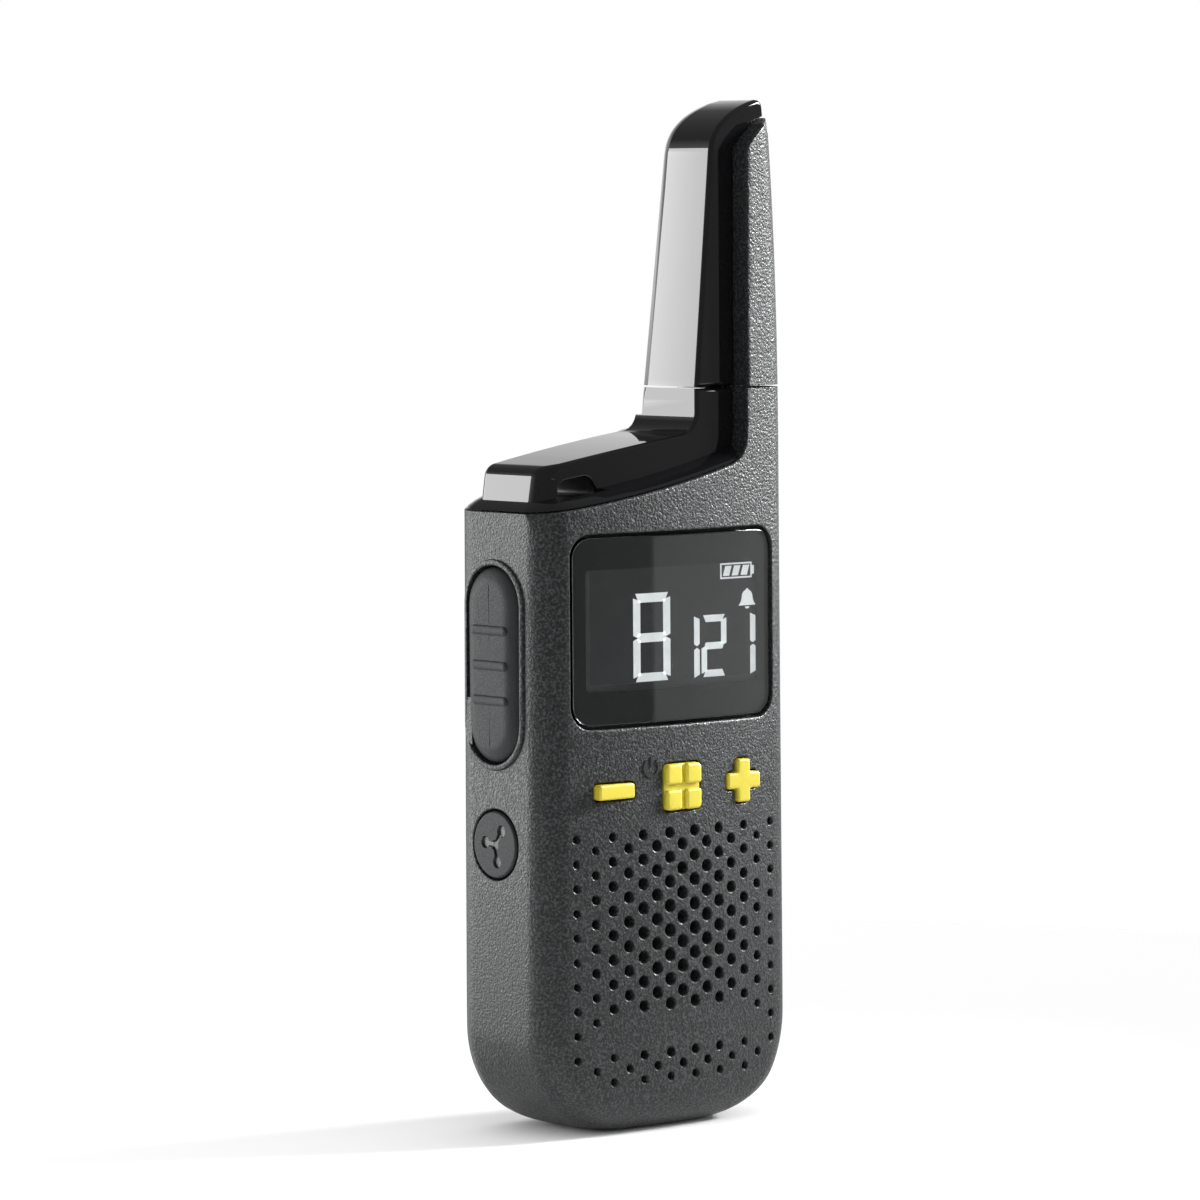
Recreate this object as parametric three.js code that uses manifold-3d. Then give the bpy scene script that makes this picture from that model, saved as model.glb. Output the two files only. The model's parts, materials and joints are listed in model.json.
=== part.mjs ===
// A handheld two-way radio: a grained two-part housing with a gloss black shoulder and antenna.
// Millimetres. X runs to the right, Y from the front face to the back, Z up. The origin is on the
// flat of the base. Each sub-part is one named mesh and one closed solid.
import * as THREE from "three";
import { LoftGeometry } from "three/addons/geometries/LoftGeometry.js";
import { mergeVertices } from "three/addons/utils/BufferGeometryUtils.js";
import Module from "manifold-3d";

const wasm = await Module();
wasm.setup();

// ---------------------------------------------------------------- driving dimensions
const gap = 0.3; // between neighbours that touch
const wall = 2.2;
const bodyHalfWidth = 27.9; // at its widest, low down
const bodyTaper = 0.4; // lost from each side by the shoulder
const bodyDepth = 28;
const shoulderHeight = 106; // top of the grained body, at its left end
const seamHeight = 126.5; // between the antenna's root and its cover
const antennaHeight = 175.5;
const antennaLean = 2.5; // how far the right edge leans in near the tip
const crownRadius = 119; // of the front face, seen from above
const frontCorner = 6;
const backCorner = 5.8;
const bottomCorner = 18;
const frontFillet = 8; // where the front face meets the base
const backFillet = 5;
const partingInset = 3.1; // the rear housing's depth, from the back
const glossInset = 3.6; // the gloss front face, behind the housing's
const plinthBackInset = 3.5;
const antennaDepth = 14.4; // of the gloss part of the antenna
const boundaryX = 16.3; // between gloss and grained plastic on the antenna
const antennaLeft = { seam: 7.2, tip: 11 };

const lens = { halfWidth: 22, bottom: 70.1, top: 101.9, corner: 3.5, recess: 0.25, thick: 1.1, rim: 0.5 };
const lensLedge = { width: 1.7, thick: 1, frame: 1.8 };
const lcd = { bottom: 74.4, top: 98.4, thick: 1.4, behindLens: 0.35, sideMargin: 0.4 };
const lcdHolderThick = 1.5;
const keys = { z: 58.9, proud: 0.8, travel: 0.5, flange: 0.8, flangeThick: 0.6 };
const keySpacing = 14.25;
const minusKey = { width: 7.8, height: 2.6 };
const plusKey = { size: 7.4, arm: 2.8 };
const menuKey = { size: 7.9, corner: 1, groove: 0.7, grooveDepth: 0.5 };
const membraneThick = 1.2;
const boardThick = 1;
const boardDepth = 8.3; // of its front, behind the crown's apex

const grille = { z: 34.5, rowPitch: 2.085, pitch: 2.76, spread: 0.007, hole: 2.25, sides: 4 };
const speaker = { radius: 18, z: 34.5, depth: 3.5, magnet: 7.5 };
const mic = { radius: 2, z: 12.2, depth: 2.4, boot: 0.6 };

const ptt = { y: 2.45, z: 80.2, length: 33.2, width: 13.5, proud: 1, travel: 0.8, ribs: 3 };
const pttRib = { pitch: 5.95, length: 9.5, width: 1.7, proud: 0.5 };
const round = { y: 2.3, z: 49.7, radius: 5.7, proud: 0.2, travel: 0.6 };
const sideFlange = { margin: 0.9, thick: 0.7 };
const port = { y: -2.3, width: 6.4, bottom: 75, top: 97.5, thick: 1.3, usbZ: 90.5, jackZ: 80.5 };

const cell = { radius: 6.8, length: 50, bottom: 15, depth: 9.8 }; // depth: axis in front of the back face
const bayWall = 1.2;
const door = { halfWidth: 21.9, top: 67.7, thick: 1.4 };

const clip = { halfWidth: 8, pivotZ: 88.5, stand: 4.8, thick: 2.2, bottom: 44, top: 99, hook: 3.6 };
const clipPin = { radius: 1, ear: 1.8 };
const housingScrew = { head: 2.1, headHeight: 1.4, shank: 0.95, length: 8, seat: 1.2 };
const seal = { inset: 1.3, width: 0.5, reach: 0.9 };
const lowScrew = { x: 7.5, z: 6.8 };
const highScrew = { x: 21, z: 99.9 };
const boardScrew = { x: 20.5, z: 70.2, head: 1.7, headHeight: 1, shank: 0.8, length: 4 };
const boss = 1.25; // wall of a screw post
const lanyard = { left: -23.2, right: -15.8, low: 1.4, top: 112.9, corner: 0.8 }; // low: above the housing edge
const plinth = { inset: 2.5, corner: 4, round: 2.5 }; // round: of its top edge
const core = { x: 17.4, y: -2.8, radius: 1.6, bottom: 101, top: 166 };
const coil = { radius: 2.4, wire: 0.35, turns: 6, bottom: 112, top: 160 };

const frontY = -bodyDepth / 2;
const backY = bodyDepth / 2;
const partingY = backY - partingInset;
const glossY = frontY + glossInset;
const plinthBackY = backY - plinthBackInset;
const antennaBackY = glossY + antennaDepth;
const bodyTopHalfWidth = bodyHalfWidth - bodyTaper;
const far = 60; // reach of a cutting solid past the object
const rear = partingY + gap; // front plane of the rear housing

// ---------------------------------------------------------------- materials
const material = (color, roughness, metalness = 0) => new THREE.MeshStandardMaterial({ color, roughness, metalness });
const grained = material(0x3b3d3f, 0.62);
const gloss = material(0x0b0b0c, 0.08);
const lensGlass = material(0x0e0f10, 0.05);
const display = material(0x39403c, 0.3);
const yellow = material(0xf2c81b, 0.4);
const rubber = material(0x2b2f34, 0.7);
const boardGreen = material(0x1d5c38, 0.5);
const steel = material(0xb9bcbf, 0.3, 1);
const brass = material(0xc9a24a, 0.35, 1);
const blackPlastic = material(0x17181a, 0.5);
const paper = material(0x4b4640, 0.9);
const cellWrap = material(0x33684a, 0.35);

// ---------------------------------------------------------------- solids
const radio = new THREE.Group();
const v3 = (x, y, z) => new THREE.Vector3(x, y, z);

function solid(geometry) {
  geometry.deleteAttribute("normal");
  geometry.deleteAttribute("uv");
  const plain = new THREE.BufferGeometry();
  plain.setAttribute("position", geometry.attributes.position);
  plain.setIndex(geometry.index);
  const merged = mergeVertices(plain, 1e-4);
  return new wasm.Manifold(
    new wasm.Mesh({
      numProp: 3,
      vertProperties: new Float32Array(merged.attributes.position.array),
      triVerts: new Uint32Array(merged.index.array),
    }),
  );
}

function add(name, shape, look) {
  const m = shape.getMesh();
  const geometry = new THREE.BufferGeometry();
  geometry.setAttribute("position", new THREE.BufferAttribute(new Float32Array(m.vertProperties), 3));
  geometry.setIndex(new THREE.BufferAttribute(new Uint32Array(m.triVerts), 1));
  geometry.computeVertexNormals();
  const mesh = new THREE.Mesh(geometry, look);
  mesh.name = name;
  radio.add(mesh);
}

const join = (...parts) => parts.reduce((a, b) => a.add(b));
const cut = (base, ...tools) => tools.reduce((a, b) => a.subtract(b), base);
const common = (...parts) => parts.reduce((a, b) => a.intersect(b));

function box(x0, x1, y0, y1, z0, z1) {
  const geometry = new THREE.BoxGeometry(x1 - x0, y1 - y0, z1 - z0);
  return solid(geometry.translate((x0 + x1) / 2, (y0 + y1) / 2, (z0 + z1) / 2));
}

const extrude = (shape, depth, curveSegments) =>
  new THREE.ExtrudeGeometry(shape, { depth, bevelEnabled: false, curveSegments });

// A shape drawn in (x, z), extruded along Y.
function extrudeY(shape, y0, y1, curveSegments = 6) {
  return solid(extrude(shape, y1 - y0, curveSegments).rotateX(Math.PI / 2).translate(0, y1, 0));
}

// A shape drawn in (y, z), extruded along X.
function extrudeX(shape, x0, x1, curveSegments = 6) {
  const turn = new THREE.Matrix4().makeBasis(v3(0, 1, 0), v3(0, 0, 1), v3(1, 0, 0));
  return solid(extrude(shape, x1 - x0, curveSegments).applyMatrix4(turn).translate(x0, 0, 0));
}

// A shape drawn in (x, y), extruded along Z.
function extrudeZ(shape, z0, z1, curveSegments = 6) {
  return solid(extrude(shape, z1 - z0, curveSegments).translate(0, 0, z0));
}

const rod = (radius, length, sides) => new THREE.CylinderGeometry(radius, radius, length, sides);
const rodX = (y, z, radius, x0, x1, sides = 16) =>
  solid(rod(radius, x1 - x0, sides).rotateZ(Math.PI / 2).translate((x0 + x1) / 2, y, z));
const rodY = (x, z, radius, y0, y1, sides = 16) =>
  solid(rod(radius, y1 - y0, sides).translate(x, (y0 + y1) / 2, z));
const rodZ = (x, y, radius, z0, z1, sides = 16) =>
  solid(rod(radius, z1 - z0, sides).rotateX(Math.PI / 2).translate(x, y, (z0 + z1) / 2));

function roundRect(u0, u1, v0, v1, radius) {
  const r = Math.min(radius, (u1 - u0) / 2 - 0.001, (v1 - v0) / 2 - 0.001);
  const shape = new THREE.Shape();
  shape.absarc(u1 - r, v0 + r, r, -Math.PI / 2, 0);
  shape.absarc(u1 - r, v1 - r, r, 0, Math.PI / 2);
  shape.absarc(u0 + r, v1 - r, r, Math.PI / 2, Math.PI);
  shape.absarc(u0 + r, v0 + r, r, Math.PI, Math.PI * 1.5);
  return shape;
}

const ringShape = (outer, inner, divisions) => {
  outer.holes.push(new THREE.Path(inner.getPoints(divisions)));
  return outer;
};

// ---------------------------------------------------------------- the outer form
const crown = (x) => crownRadius - Math.sqrt(crownRadius ** 2 - x ** 2);

function halfWidth(z, inset) {
  if (z < bottomCorner) {
    const reach = (bottomCorner - inset) ** 2 - (bottomCorner - z) ** 2;
    return bodyHalfWidth - bottomCorner + Math.sqrt(Math.max(reach, 0));
  }
  if (z <= shoulderHeight) {
    const taperStart = 26;
    return bodyHalfWidth - inset - (bodyTaper * Math.max(z - taperStart, 0)) / (shoulderHeight - taperStart);
  }
  const rise = (z - shoulderHeight) / (170 - shoulderHeight);
  return bodyTopHalfWidth - inset - antennaLean * rise ** 2.5;
}

function filletInset(z, radius, inset) {
  if (z >= radius) return inset;
  return radius - Math.sqrt(Math.max((radius - inset) ** 2 - (radius - z) ** 2, 0));
}

// A level outline of the body, counter-clockwise from above: crowned front, round corners, flat back.
function bodyRing(z, inset) {
  const w = halfWidth(z, inset);
  const front = frontY + filletInset(z, frontFillet, inset);
  const back = backY - filletInset(z, backFillet, inset);
  const rf = Math.min(frontCorner - inset * 0.9, w - 1);
  const rb = Math.min(backCorner - inset * 0.9, w - 1);
  const slope = Math.asin((w - rf) / crownRadius);
  const edge = w - rf + rf * Math.sin(slope);
  const cy = front + crown(edge) + rf * Math.cos(slope);
  const right = [];
  const crownSteps = 3;
  for (let i = 0; i < crownSteps; i++) right.push([(edge * i) / crownSteps, front + crown((edge * i) / crownSteps)]);
  const cornerSteps = 3;
  for (let i = 0; i <= cornerSteps; i++) {
    const a = -Math.PI / 2 + slope + ((Math.PI / 2 - slope) * i) / cornerSteps;
    right.push([w - rf + rf * Math.cos(a), cy + rf * Math.sin(a)]);
  }
  for (let i = 0; i <= cornerSteps; i++) {
    const a = ((Math.PI / 2) * i) / cornerSteps;
    right.push([w - rb + rb * Math.cos(a), back - rb + rb * Math.sin(a)]);
  }
  const left = right.slice(1).reverse().map(([x, y]) => [-x, y]);
  return [...right, ...left].map(([x, y]) => v3(x, y, z));
}

const loft = (rings) => solid(new LoftGeometry(rings, { capStart: true, capEnd: true }));

// The whole body and antenna strip as one tapering form, drawn in by inset.
function bodyForm(inset) {
  const cornerAngles = [0, 18, 38, 62, 90];
  const low = cornerAngles.map((deg) => bottomCorner - (bottomCorner - inset) * Math.cos((deg * Math.PI) / 180));
  const high = [26, shoulderHeight, seamHeight, 150, 168, antennaHeight + 4];
  return loft([...low, ...high].map((z) => bodyRing(z, inset)));
}

// Height of the grained body's top edge, seen from the front, left of the antenna.
const edgeHeight = (x) => shoulderHeight + 0.11 * (x + 27.5) + 0.0018 * (x + 27.5) ** 2;
const rootCurve = { x: 11.6, radius: 4.9 }; // where the edge turns up into the antenna

// The front view of everything right of and below the gloss parts, drawn in by inset.
function grainedShape(inset, top) {
  const shape = new THREE.Shape();
  const x0 = -bodyHalfWidth - far;
  shape.moveTo(x0, -far);
  shape.lineTo(far, -far);
  shape.lineTo(far, top);
  shape.lineTo(boundaryX + inset, top);
  const foot = edgeHeight(rootCurve.x) - inset;
  shape.lineTo(boundaryX + inset, foot + rootCurve.radius + 1);
  shape.quadraticCurveTo(boundaryX + inset, foot + 0.9, rootCurve.x, foot);
  for (const x of [4, -4, -12, -20, -bodyTopHalfWidth]) shape.lineTo(x, edgeHeight(x) - inset);
  shape.lineTo(x0, edgeHeight(-bodyTopHalfWidth) - inset);
  return shape;
}

// The side view of the back: upright to the shoulder, then stepping in to the antenna.
function sideShape(inset) {
  const top = antennaHeight + far;
  const ledge = edgeHeight(boundaryX) + 6.4 - inset;
  const back = plinthBackY - inset;
  const shape = new THREE.Shape();
  shape.moveTo(-far, -far);
  shape.lineTo(backY + far, -far);
  const turn = edgeHeight(boundaryX) - 0.5 - inset;
  shape.lineTo(backY + far, turn);
  shape.lineTo(backY - inset, turn);
  shape.quadraticCurveTo(back + 0.4, turn + 0.8, back, turn + 2.6);
  shape.lineTo(back - 0.1, ledge - 2.6);
  shape.quadraticCurveTo(back - 0.4, ledge - 0.2, back - 2.8, ledge + 0.2);
  shape.quadraticCurveTo(antennaBackY - inset + 0.2, ledge + 0.6, antennaBackY - inset, ledge + 5);
  shape.lineTo(antennaBackY - inset, top);
  shape.lineTo(-far, top);
  return shape;
}

// The run of the antenna element, open through the housing, shoulder and antenna cover.
function antennaBore() {
  const shape = new THREE.Shape();
  const wallIn = 1.7;
  shape.moveTo(antennaLeft.seam + 4.5, shoulderHeight - 4);
  shape.lineTo(halfWidth(seamHeight, 0) - wall - 2, shoulderHeight - 4);
  shape.lineTo(halfWidth(seamHeight, 0) - wall - 2, seamHeight);
  shape.lineTo(halfWidth(168, 0) - wall - 2, antennaHeight - 7.5);
  shape.lineTo(antennaLeft.tip + 2, antennaHeight - 7.5);
  shape.lineTo(antennaLeft.seam + 2, seamHeight);
  shape.lineTo(antennaLeft.seam + 3.2, edgeHeight(antennaLeft.seam) + 8);
  return extrudeY(shape, glossY + wallIn + 0.9, antennaBackY - wallIn);
}

// A plate that follows the crowned front: between two depths behind it, cut to a rounded rectangle.
function crownedPlate(depth0, depth1, halfW, z0, z1, corner) {
  const reach = halfW + 3;
  const steps = 6;
  const points = [];
  for (let i = 0; i <= steps; i++) {
    const x = -reach + (2 * reach * i) / steps;
    points.push(new THREE.Vector2(x, frontY + crown(x) + depth0));
  }
  for (let i = steps; i >= 0; i--) {
    const x = -reach + (2 * reach * i) / steps;
    points.push(new THREE.Vector2(x, frontY + crown(x) + depth1));
  }
  const band = extrudeZ(new THREE.Shape(points), z0 - 1, z1 + 1);
  return common(band, extrudeY(roundRect(-halfW, halfW, z0, z1, corner), frontY - 2, backY, 2));
}

// ---------------------------------------------------------------- shared places
const boardFront = frontY + boardDepth;
const boardBack = boardFront + boardThick;
const cellY = backY - cell.depth;
const bayFront = cellY - cell.radius - 0.3 - bayWall;
const bayHalfWidth = cell.radius * 3 + 0.8 + bayWall;
const bayBottom = cell.bottom - 2.8 - bayWall;
const bayTop = cell.bottom + cell.length + 1.2 + bayWall;
const sideIn = (z) => halfWidth(z, wall); // inner face of a side wall
const keyX = { minus: -keySpacing, menu: 0, plus: keySpacing };
const lensSeat = lens.recess + lens.thick + gap; // depth of the gasket's front
const lensFrameDepth = lensSeat + 0.5 + gap + lensLedge.thick;
const lcdFront = frontY + crown(lens.halfWidth - lensLedge.width) + lens.recess + lens.thick + lcd.behindLens;
const lcdHalfWidth = lens.halfWidth - lensLedge.width - lcd.sideMargin;
const holderFront = lcdFront + lcd.thick + gap;
const holderBack = holderFront + lcdHolderThick;
const doorFace = backY - door.thick;

// ---------------------------------------------------------------- housings
function grilleHoles() {
  const columnX = (i) => grille.pitch * i + grille.spread * i ** 3;
  const rowsOf = (i) => {
    const a = Math.abs(i);
    const low = a % 2;
    const last = a === 7 ? 18 : a === 6 ? 15 : a % 2 ? 14 : 13;
    const rows = [];
    for (let r = low ? 0 : 1; r <= last; r += 2) rows.push(r);
    if (a === 6 || !low) rows.push(19);
    if (low && a !== 7) rows.push(18, 20);
    return rows;
  };
  const holes = [];
  for (let i = -7; i <= 7; i++) {
    for (const r of rowsOf(i)) {
      const x = columnX(i);
      const z = grille.z - (r - 8) * grille.rowPitch;
      const shrink = 0.95 * (x / 21.7) ** 2 + 0.85 * ((r - 8) / 12) ** 2;
      const radius = (grille.hole - Math.min(0.95, shrink)) / 2;
      holes.push(rodY(x, z, radius, frontY - 1, frontY + crown(x) + wall + 4, grille.sides));
    }
  }
  return holes;
}

const keyShapes = {
  minus: (x, grow) => {
    const w = minusKey.width / 2 + grow;
    const h = minusKey.height / 2 + grow;
    return roundRect(x - w, x + w, keys.z - h, keys.z + h, 0.6);
  },
  menu: (x, grow) => {
    const s = menuKey.size / 2 + grow;
    return roundRect(x - s, x + s, keys.z - s, keys.z + s, menuKey.corner);
  },
  plus: (x, grow) => {
    const s = plusKey.size / 2 + grow;
    const a = plusKey.arm / 2 + grow;
    const corners = [[a, a], [s, a], [s, -a], [a, -a], [a, -s], [-a, -s]];
    const rest = [[-a, -a], [-s, -a], [-s, a], [-a, a], [-a, s], [a, s]];
    return new THREE.Shape([...corners, ...rest].map(([u, v]) => new THREE.Vector2(x + u, keys.z + v)).reverse());
  },
};

const stadium = (half, grow) =>
  roundRect(ptt.y - half - grow, ptt.y + half + grow, ptt.z - ptt.length / 2 - grow, ptt.z + ptt.length / 2 + grow, 99);

function screwPost(x, z, yFront, yBack, screw, depth) {
  const bore = screw.shank + gap;
  return { post: rodY(x, z, bore + boss, yFront, yBack, 12), hole: rodY(x, z, bore, yBack - depth, yBack + 1, 8) };
}

function frontHousing() {
  const outer = common(bodyForm(0), extrudeX(sideShape(0), -far, far));
  const cavityTop = antennaHeight;
  const hollow = common(
    bodyForm(wall),
    extrudeX(sideShape(wall), -far, far),
    extrudeY(grainedShape(wall, cavityTop), -far, far),
  );
  const ahead = box(-far, far, frontY - 1, partingY, -1, seamHeight);
  let shell = cut(common(outer, extrudeY(grainedShape(0, seamHeight), -far, far), ahead), hollow);
  const frame = crownedPlate(wall - 0.5, lensFrameDepth, lens.halfWidth + lensLedge.frame,
    lens.bottom - lensLedge.frame, lens.top + lensLedge.frame - 0.6, lens.corner + 1);
  shell = shell.add(frame);
  const lensHole = extrudeY(roundRect(-lens.halfWidth - lens.rim, lens.halfWidth + lens.rim,
    lens.bottom - lens.rim, lens.top + lens.rim, lens.corner + lens.rim), frontY - 1, backY, 2);
  const ledgeBand = crownedPlate(-1, lensFrameDepth - lensLedge.thick, lens.halfWidth + 2, lens.bottom - 2, lens.top + 2, 1);
  const viewing = extrudeY(roundRect(-lcdHalfWidth - lcd.sideMargin, lcdHalfWidth + lcd.sideMargin,
    lcd.bottom - lcd.sideMargin, lcd.top + lcd.sideMargin, 1), frontY - 1, 0, 1);
  shell = cut(shell, common(lensHole, ledgeBand), viewing);
  for (const [name, shape] of Object.entries(keyShapes)) {
    shell = shell.subtract(extrudeY(shape(keyX[name], gap), frontY - 2, frontY + 5, 1));
  }
  const posts = screwPlaces().map(({ x, z, headBack, root }) => {
    const end = headBack - housingScrew.headHeight - housingScrew.seat - gap;
    return screwPost(x, z, root, Math.min(end, partingY - gap), housingScrew, housingScrew.length - 1);
  });
  const ledgeBack = frontY + crown(boardScrew.x) + lensFrameDepth;
  for (const side of [-1, 1]) {
    const depth = boardScrew.length - boardThick + gap;
    posts.push(screwPost(side * boardScrew.x, boardScrew.z, ledgeBack - 0.5, boardFront - gap, boardScrew, depth - gap));
  }
  const webHalf = 1.2;
  for (const side of [-1, 1]) {
    const x0 = side * (highScrew.x + 1.6);
    const x1 = side * (sideIn(highScrew.z) + 0.6);
    shell = shell.add(box(Math.min(x0, x1), Math.max(x0, x1), partingY - 10, partingY - gap,
      highScrew.z - webHalf, highScrew.z + webHalf));
  }
  for (const p of posts) shell = shell.add(p.post);
  for (const p of posts) shell = shell.subtract(p.hole);
  const sideHole = extrudeX(stadium(ptt.width / 2, gap), -far, -20, 3);
  const roundHole = rodX(round.y, round.z, round.radius + gap, -far, -20, 20);
  shell = cut(shell, sideHole, roundHole, portPocket(), antennaBore());
  return cut(shell, sealRing(gap), wasm.Manifold.union(grilleHoles()));
}

// The recess for the rubber flap on the right side, and the two socket openings in its floor.
function portPocket() {
  const y0 = port.y - port.width / 2 - gap;
  const y1 = port.y + port.width / 2 + gap;
  const floorX = bodyTopHalfWidth - port.thick - gap;
  const pocket = box(floorX, far, y0, y1, port.bottom - gap, port.top + gap);
  const usbHole = extrudeX(roundRect(port.y - 1.9, port.y + 1.9, port.usbZ - 4.8, port.usbZ + 4.8, 1.6), 20, far, 3);
  const jackHole = rodX(port.y, port.jackZ, 2.6, 20, far, 12);
  return join(pocket, usbHole, jackHole);
}

function rearHousing() {
  const form = (inset, edge) =>
    common(bodyForm(inset), extrudeX(sideShape(inset), -far, far), extrudeY(grainedShape(edge, seamHeight), -far, far));
  const behind = box(-far, far, rear, backY + 1, -1, seamHeight);
  const skin = cut(common(form(0, 0), behind), form(wall, wall));
  const bay = box(-bayHalfWidth, bayHalfWidth, bayFront, backY - wall + 0.1, bayBottom, bayTop);
  const slot = box(-door.halfWidth - gap, door.halfWidth + gap, doorFace - gap, backY + 1, -1, door.top + gap);
  const room = box(-bayHalfWidth + bayWall, bayHalfWidth - bayWall, bayFront + bayWall, backY + 1,
    bayBottom + bayWall, bayTop - bayWall);
  let shell = cut(join(skin, bay), slot, room);
  for (const { x, z, headBack } of screwPlaces()) {
    const seat = headBack - housingScrew.headHeight;
    const post = rodY(x, z, housingScrew.head + gap + 1, seat - housingScrew.seat, Math.min(backY - wall + 0.3, headBack), 12);
    shell = shell.add(common(post, bodyForm(0.2)));
    shell = cut(shell, rodY(x, z, housingScrew.shank + gap, seat - 3, backY + 1, 8),
      rodY(x, z, housingScrew.head + gap, seat - gap * 0.1, backY + 1, 12));
  }
  for (const z of clipScrewZ) shell = shell.subtract(rodY(0, z, 1.2, backY - wall - 1, backY + 1, 8));
  return shell;
}

// The housing screws: two hidden under the battery door, two above it.
const screwPlaces = () => [
  ...[1, -1].map((side) => ({ ...lowScrew, x: side * lowScrew.x, headBack: doorFace - 2 * gap, root: frontY + wall - 0.5 })),
  ...[1, -1].map((side) => ({ ...highScrew, x: side * highScrew.x, headBack: backY - 0.1, root: partingY - 10 })),
];

// The seal in the front housing's rim, flush with it; grown, it is the groove that holds it.
function sealRing(grow) {
  const flat = bodyHalfWidth - bottomCorner;
  const outline = (inset) => {
    const half = halfWidth(60, 0) - inset;
    const shape = new THREE.Shape();
    shape.moveTo(-half, edgeHeight(-half) - inset);
    shape.lineTo(-half, bottomCorner);
    shape.absarc(-flat, bottomCorner, half - flat, Math.PI, Math.PI * 1.5);
    shape.absarc(flat, bottomCorner, half - flat, Math.PI * 1.5, Math.PI * 2);
    for (const x of [half, boundaryX, 4, -12]) shape.lineTo(x, edgeHeight(Math.min(x, boundaryX)) - inset);
    return shape;
  };
  const divisions = 3;
  const ring = ringShape(outline(seal.inset - grow), outline(seal.inset + seal.width + grow), divisions);
  return extrudeY(ring, partingY - seal.reach - grow, partingY + grow, divisions);
}

// ---------------------------------------------------------------- shoulder and antenna
// A level rounded outline with a crowned front and a flat back; z may follow x.
function plateRing(left, right, front, back, corner, zOf) {
  const points = [];
  const steps = 3;
  const corners = [[right, front, -90], [right, back, 0], [left, back, 90], [left, front, 180]];
  for (const [x, y, start] of corners) {
    const cx = x === right ? x - corner : x + corner;
    const cy = y === front ? y + corner : y - corner;
    for (let i = 0; i <= steps; i++) {
      const a = ((start + (90 * i) / steps) * Math.PI) / 180;
      points.push([cx + corner * Math.cos(a), cy + corner * Math.sin(a)]);
    }
  }
  const spread = [];
  const across = 6;
  points.forEach(([x, y], i) => {
    spread.push([x, y]);
    const next = points[(i + 1) % points.length];
    if (Math.abs(next[0] - x) < 20) return;
    for (let k = 1; k < across; k++) spread.push([x + ((next[0] - x) * k) / across, y + ((next[1] - y) * k) / across]);
  });
  return spread.map(([x, y]) => v3(x, y + (crown(x) * (back - y)) / (back - front), zOf(x)));
}

const plinthTop = (x) => shoulderHeight + 7.9 + 0.2 * (x + 24) - 0.0012 * (x + 24) ** 2;

// The lanyard's way through, from the front to the back, its floor following the shoulder's slope.
function lanyardHole() {
  const { left, right, low, top, corner } = lanyard;
  const shape = new THREE.Shape();
  shape.moveTo(left + corner, edgeHeight(left) + low);
  shape.lineTo(right - corner, edgeHeight(right) + low);
  shape.lineTo(right, edgeHeight(right) + low + corner);
  shape.lineTo(right, top - corner);
  shape.lineTo(right - corner, top);
  shape.lineTo(left + corner, top);
  shape.lineTo(left, top - corner);
  shape.lineTo(left, edgeHeight(left) + low + corner);
  return extrudeY(shape, -far, far);
}

function shoulderTrim() {
  const side = bodyTopHalfWidth;
  const above = (height) => (x) => edgeHeight(x) + height;
  const flush = (height) => plateRing(-side, side, frontY + 0.2, backY, frontCorner, above(height));
  const reach = side - plinth.inset;
  const foot = (draw, height) =>
    plateRing(-reach + draw, reach - draw, glossY + draw, plinthBackY - draw, plinth.corner, above(height));
  const skirt = loft([flush(-1.5), flush(0.6), foot(0.2, 2.2)]);
  const roundAngles = [0, 22.5, 45, 67.5, 90];
  const top = roundAngles.map((deg) => {
    const a = (deg * Math.PI) / 180;
    const draw = plinth.round * (1 - Math.cos(a));
    const drop = plinth.round * (1 - Math.sin(a));
    return plateRing(-reach + draw, reach - draw, glossY + draw * 0.6, plinthBackY - draw * 0.6,
      plinth.corner - draw * 0.6, (x) => plinthTop(x) - drop);
  });
  const block = loft([foot(0, 1), ...top]);
  const keep = cut(box(-far, boundaryX - gap, -far, far, 0, seamHeight - gap),
    extrudeY(grainedShape(-gap, seamHeight + 1), -far, far));
  const outer = common(join(skirt, block, antennaRoot()), keep);
  const bore = common(antennaBore(), box(-far, far, -far, far, edgeHeight(0) + 1, seamHeight + 1));
  const undercut = box(-12, boundaryX + 1, glossY + 2.8, plinthBackY - 2, shoulderHeight - 2, edgeHeight(-12) + 4.5);
  return cut(outer, bore, undercut, lanyardHole());
}

// The gloss side of the antenna as level outlines; z0 to z1. Its front is a hair behind the plinth's.
function antennaGloss(z0, z1, tipRound) {
  const leftAt = (z) =>
    antennaLeft.seam + ((antennaLeft.tip - antennaLeft.seam) * (z - seamHeight)) / (168 - seamHeight);
  const levels = tipRound ? [z0, antennaHeight - 8.5] : [z0, z1];
  const front = (x) => glossY + 0.15 + crown(x);
  const edge = 0.7;
  const ring = (z, draw) => {
    const left = leftAt(z) + draw;
    const past = boundaryX + 14;
    const ahead = [left + edge, boundaryX + 1, past].map((x) => [x, front(x)]);
    const behind = [[past, antennaBackY], [left + 3, antennaBackY], [left + 0.9, antennaBackY - 0.9]];
    return [...ahead, ...behind, [left, antennaBackY - 3], [left, front(left) + edge]].map(([x, y]) => v3(x, y, z));
  };
  const rings = levels.map((z) => ring(z, 0));
  if (tipRound) {
    const r = 6.5;
    for (const deg of [20, 40, 60]) {
      const a = (deg * Math.PI) / 180;
      rings.push(ring(antennaHeight - 8.5 + r * Math.sin(a), r * (1 - Math.cos(a)) * 0.8));
    }
    rings.push(ring(antennaHeight + 1, r * 0.45));
  }
  return loft(rings);
}

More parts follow.
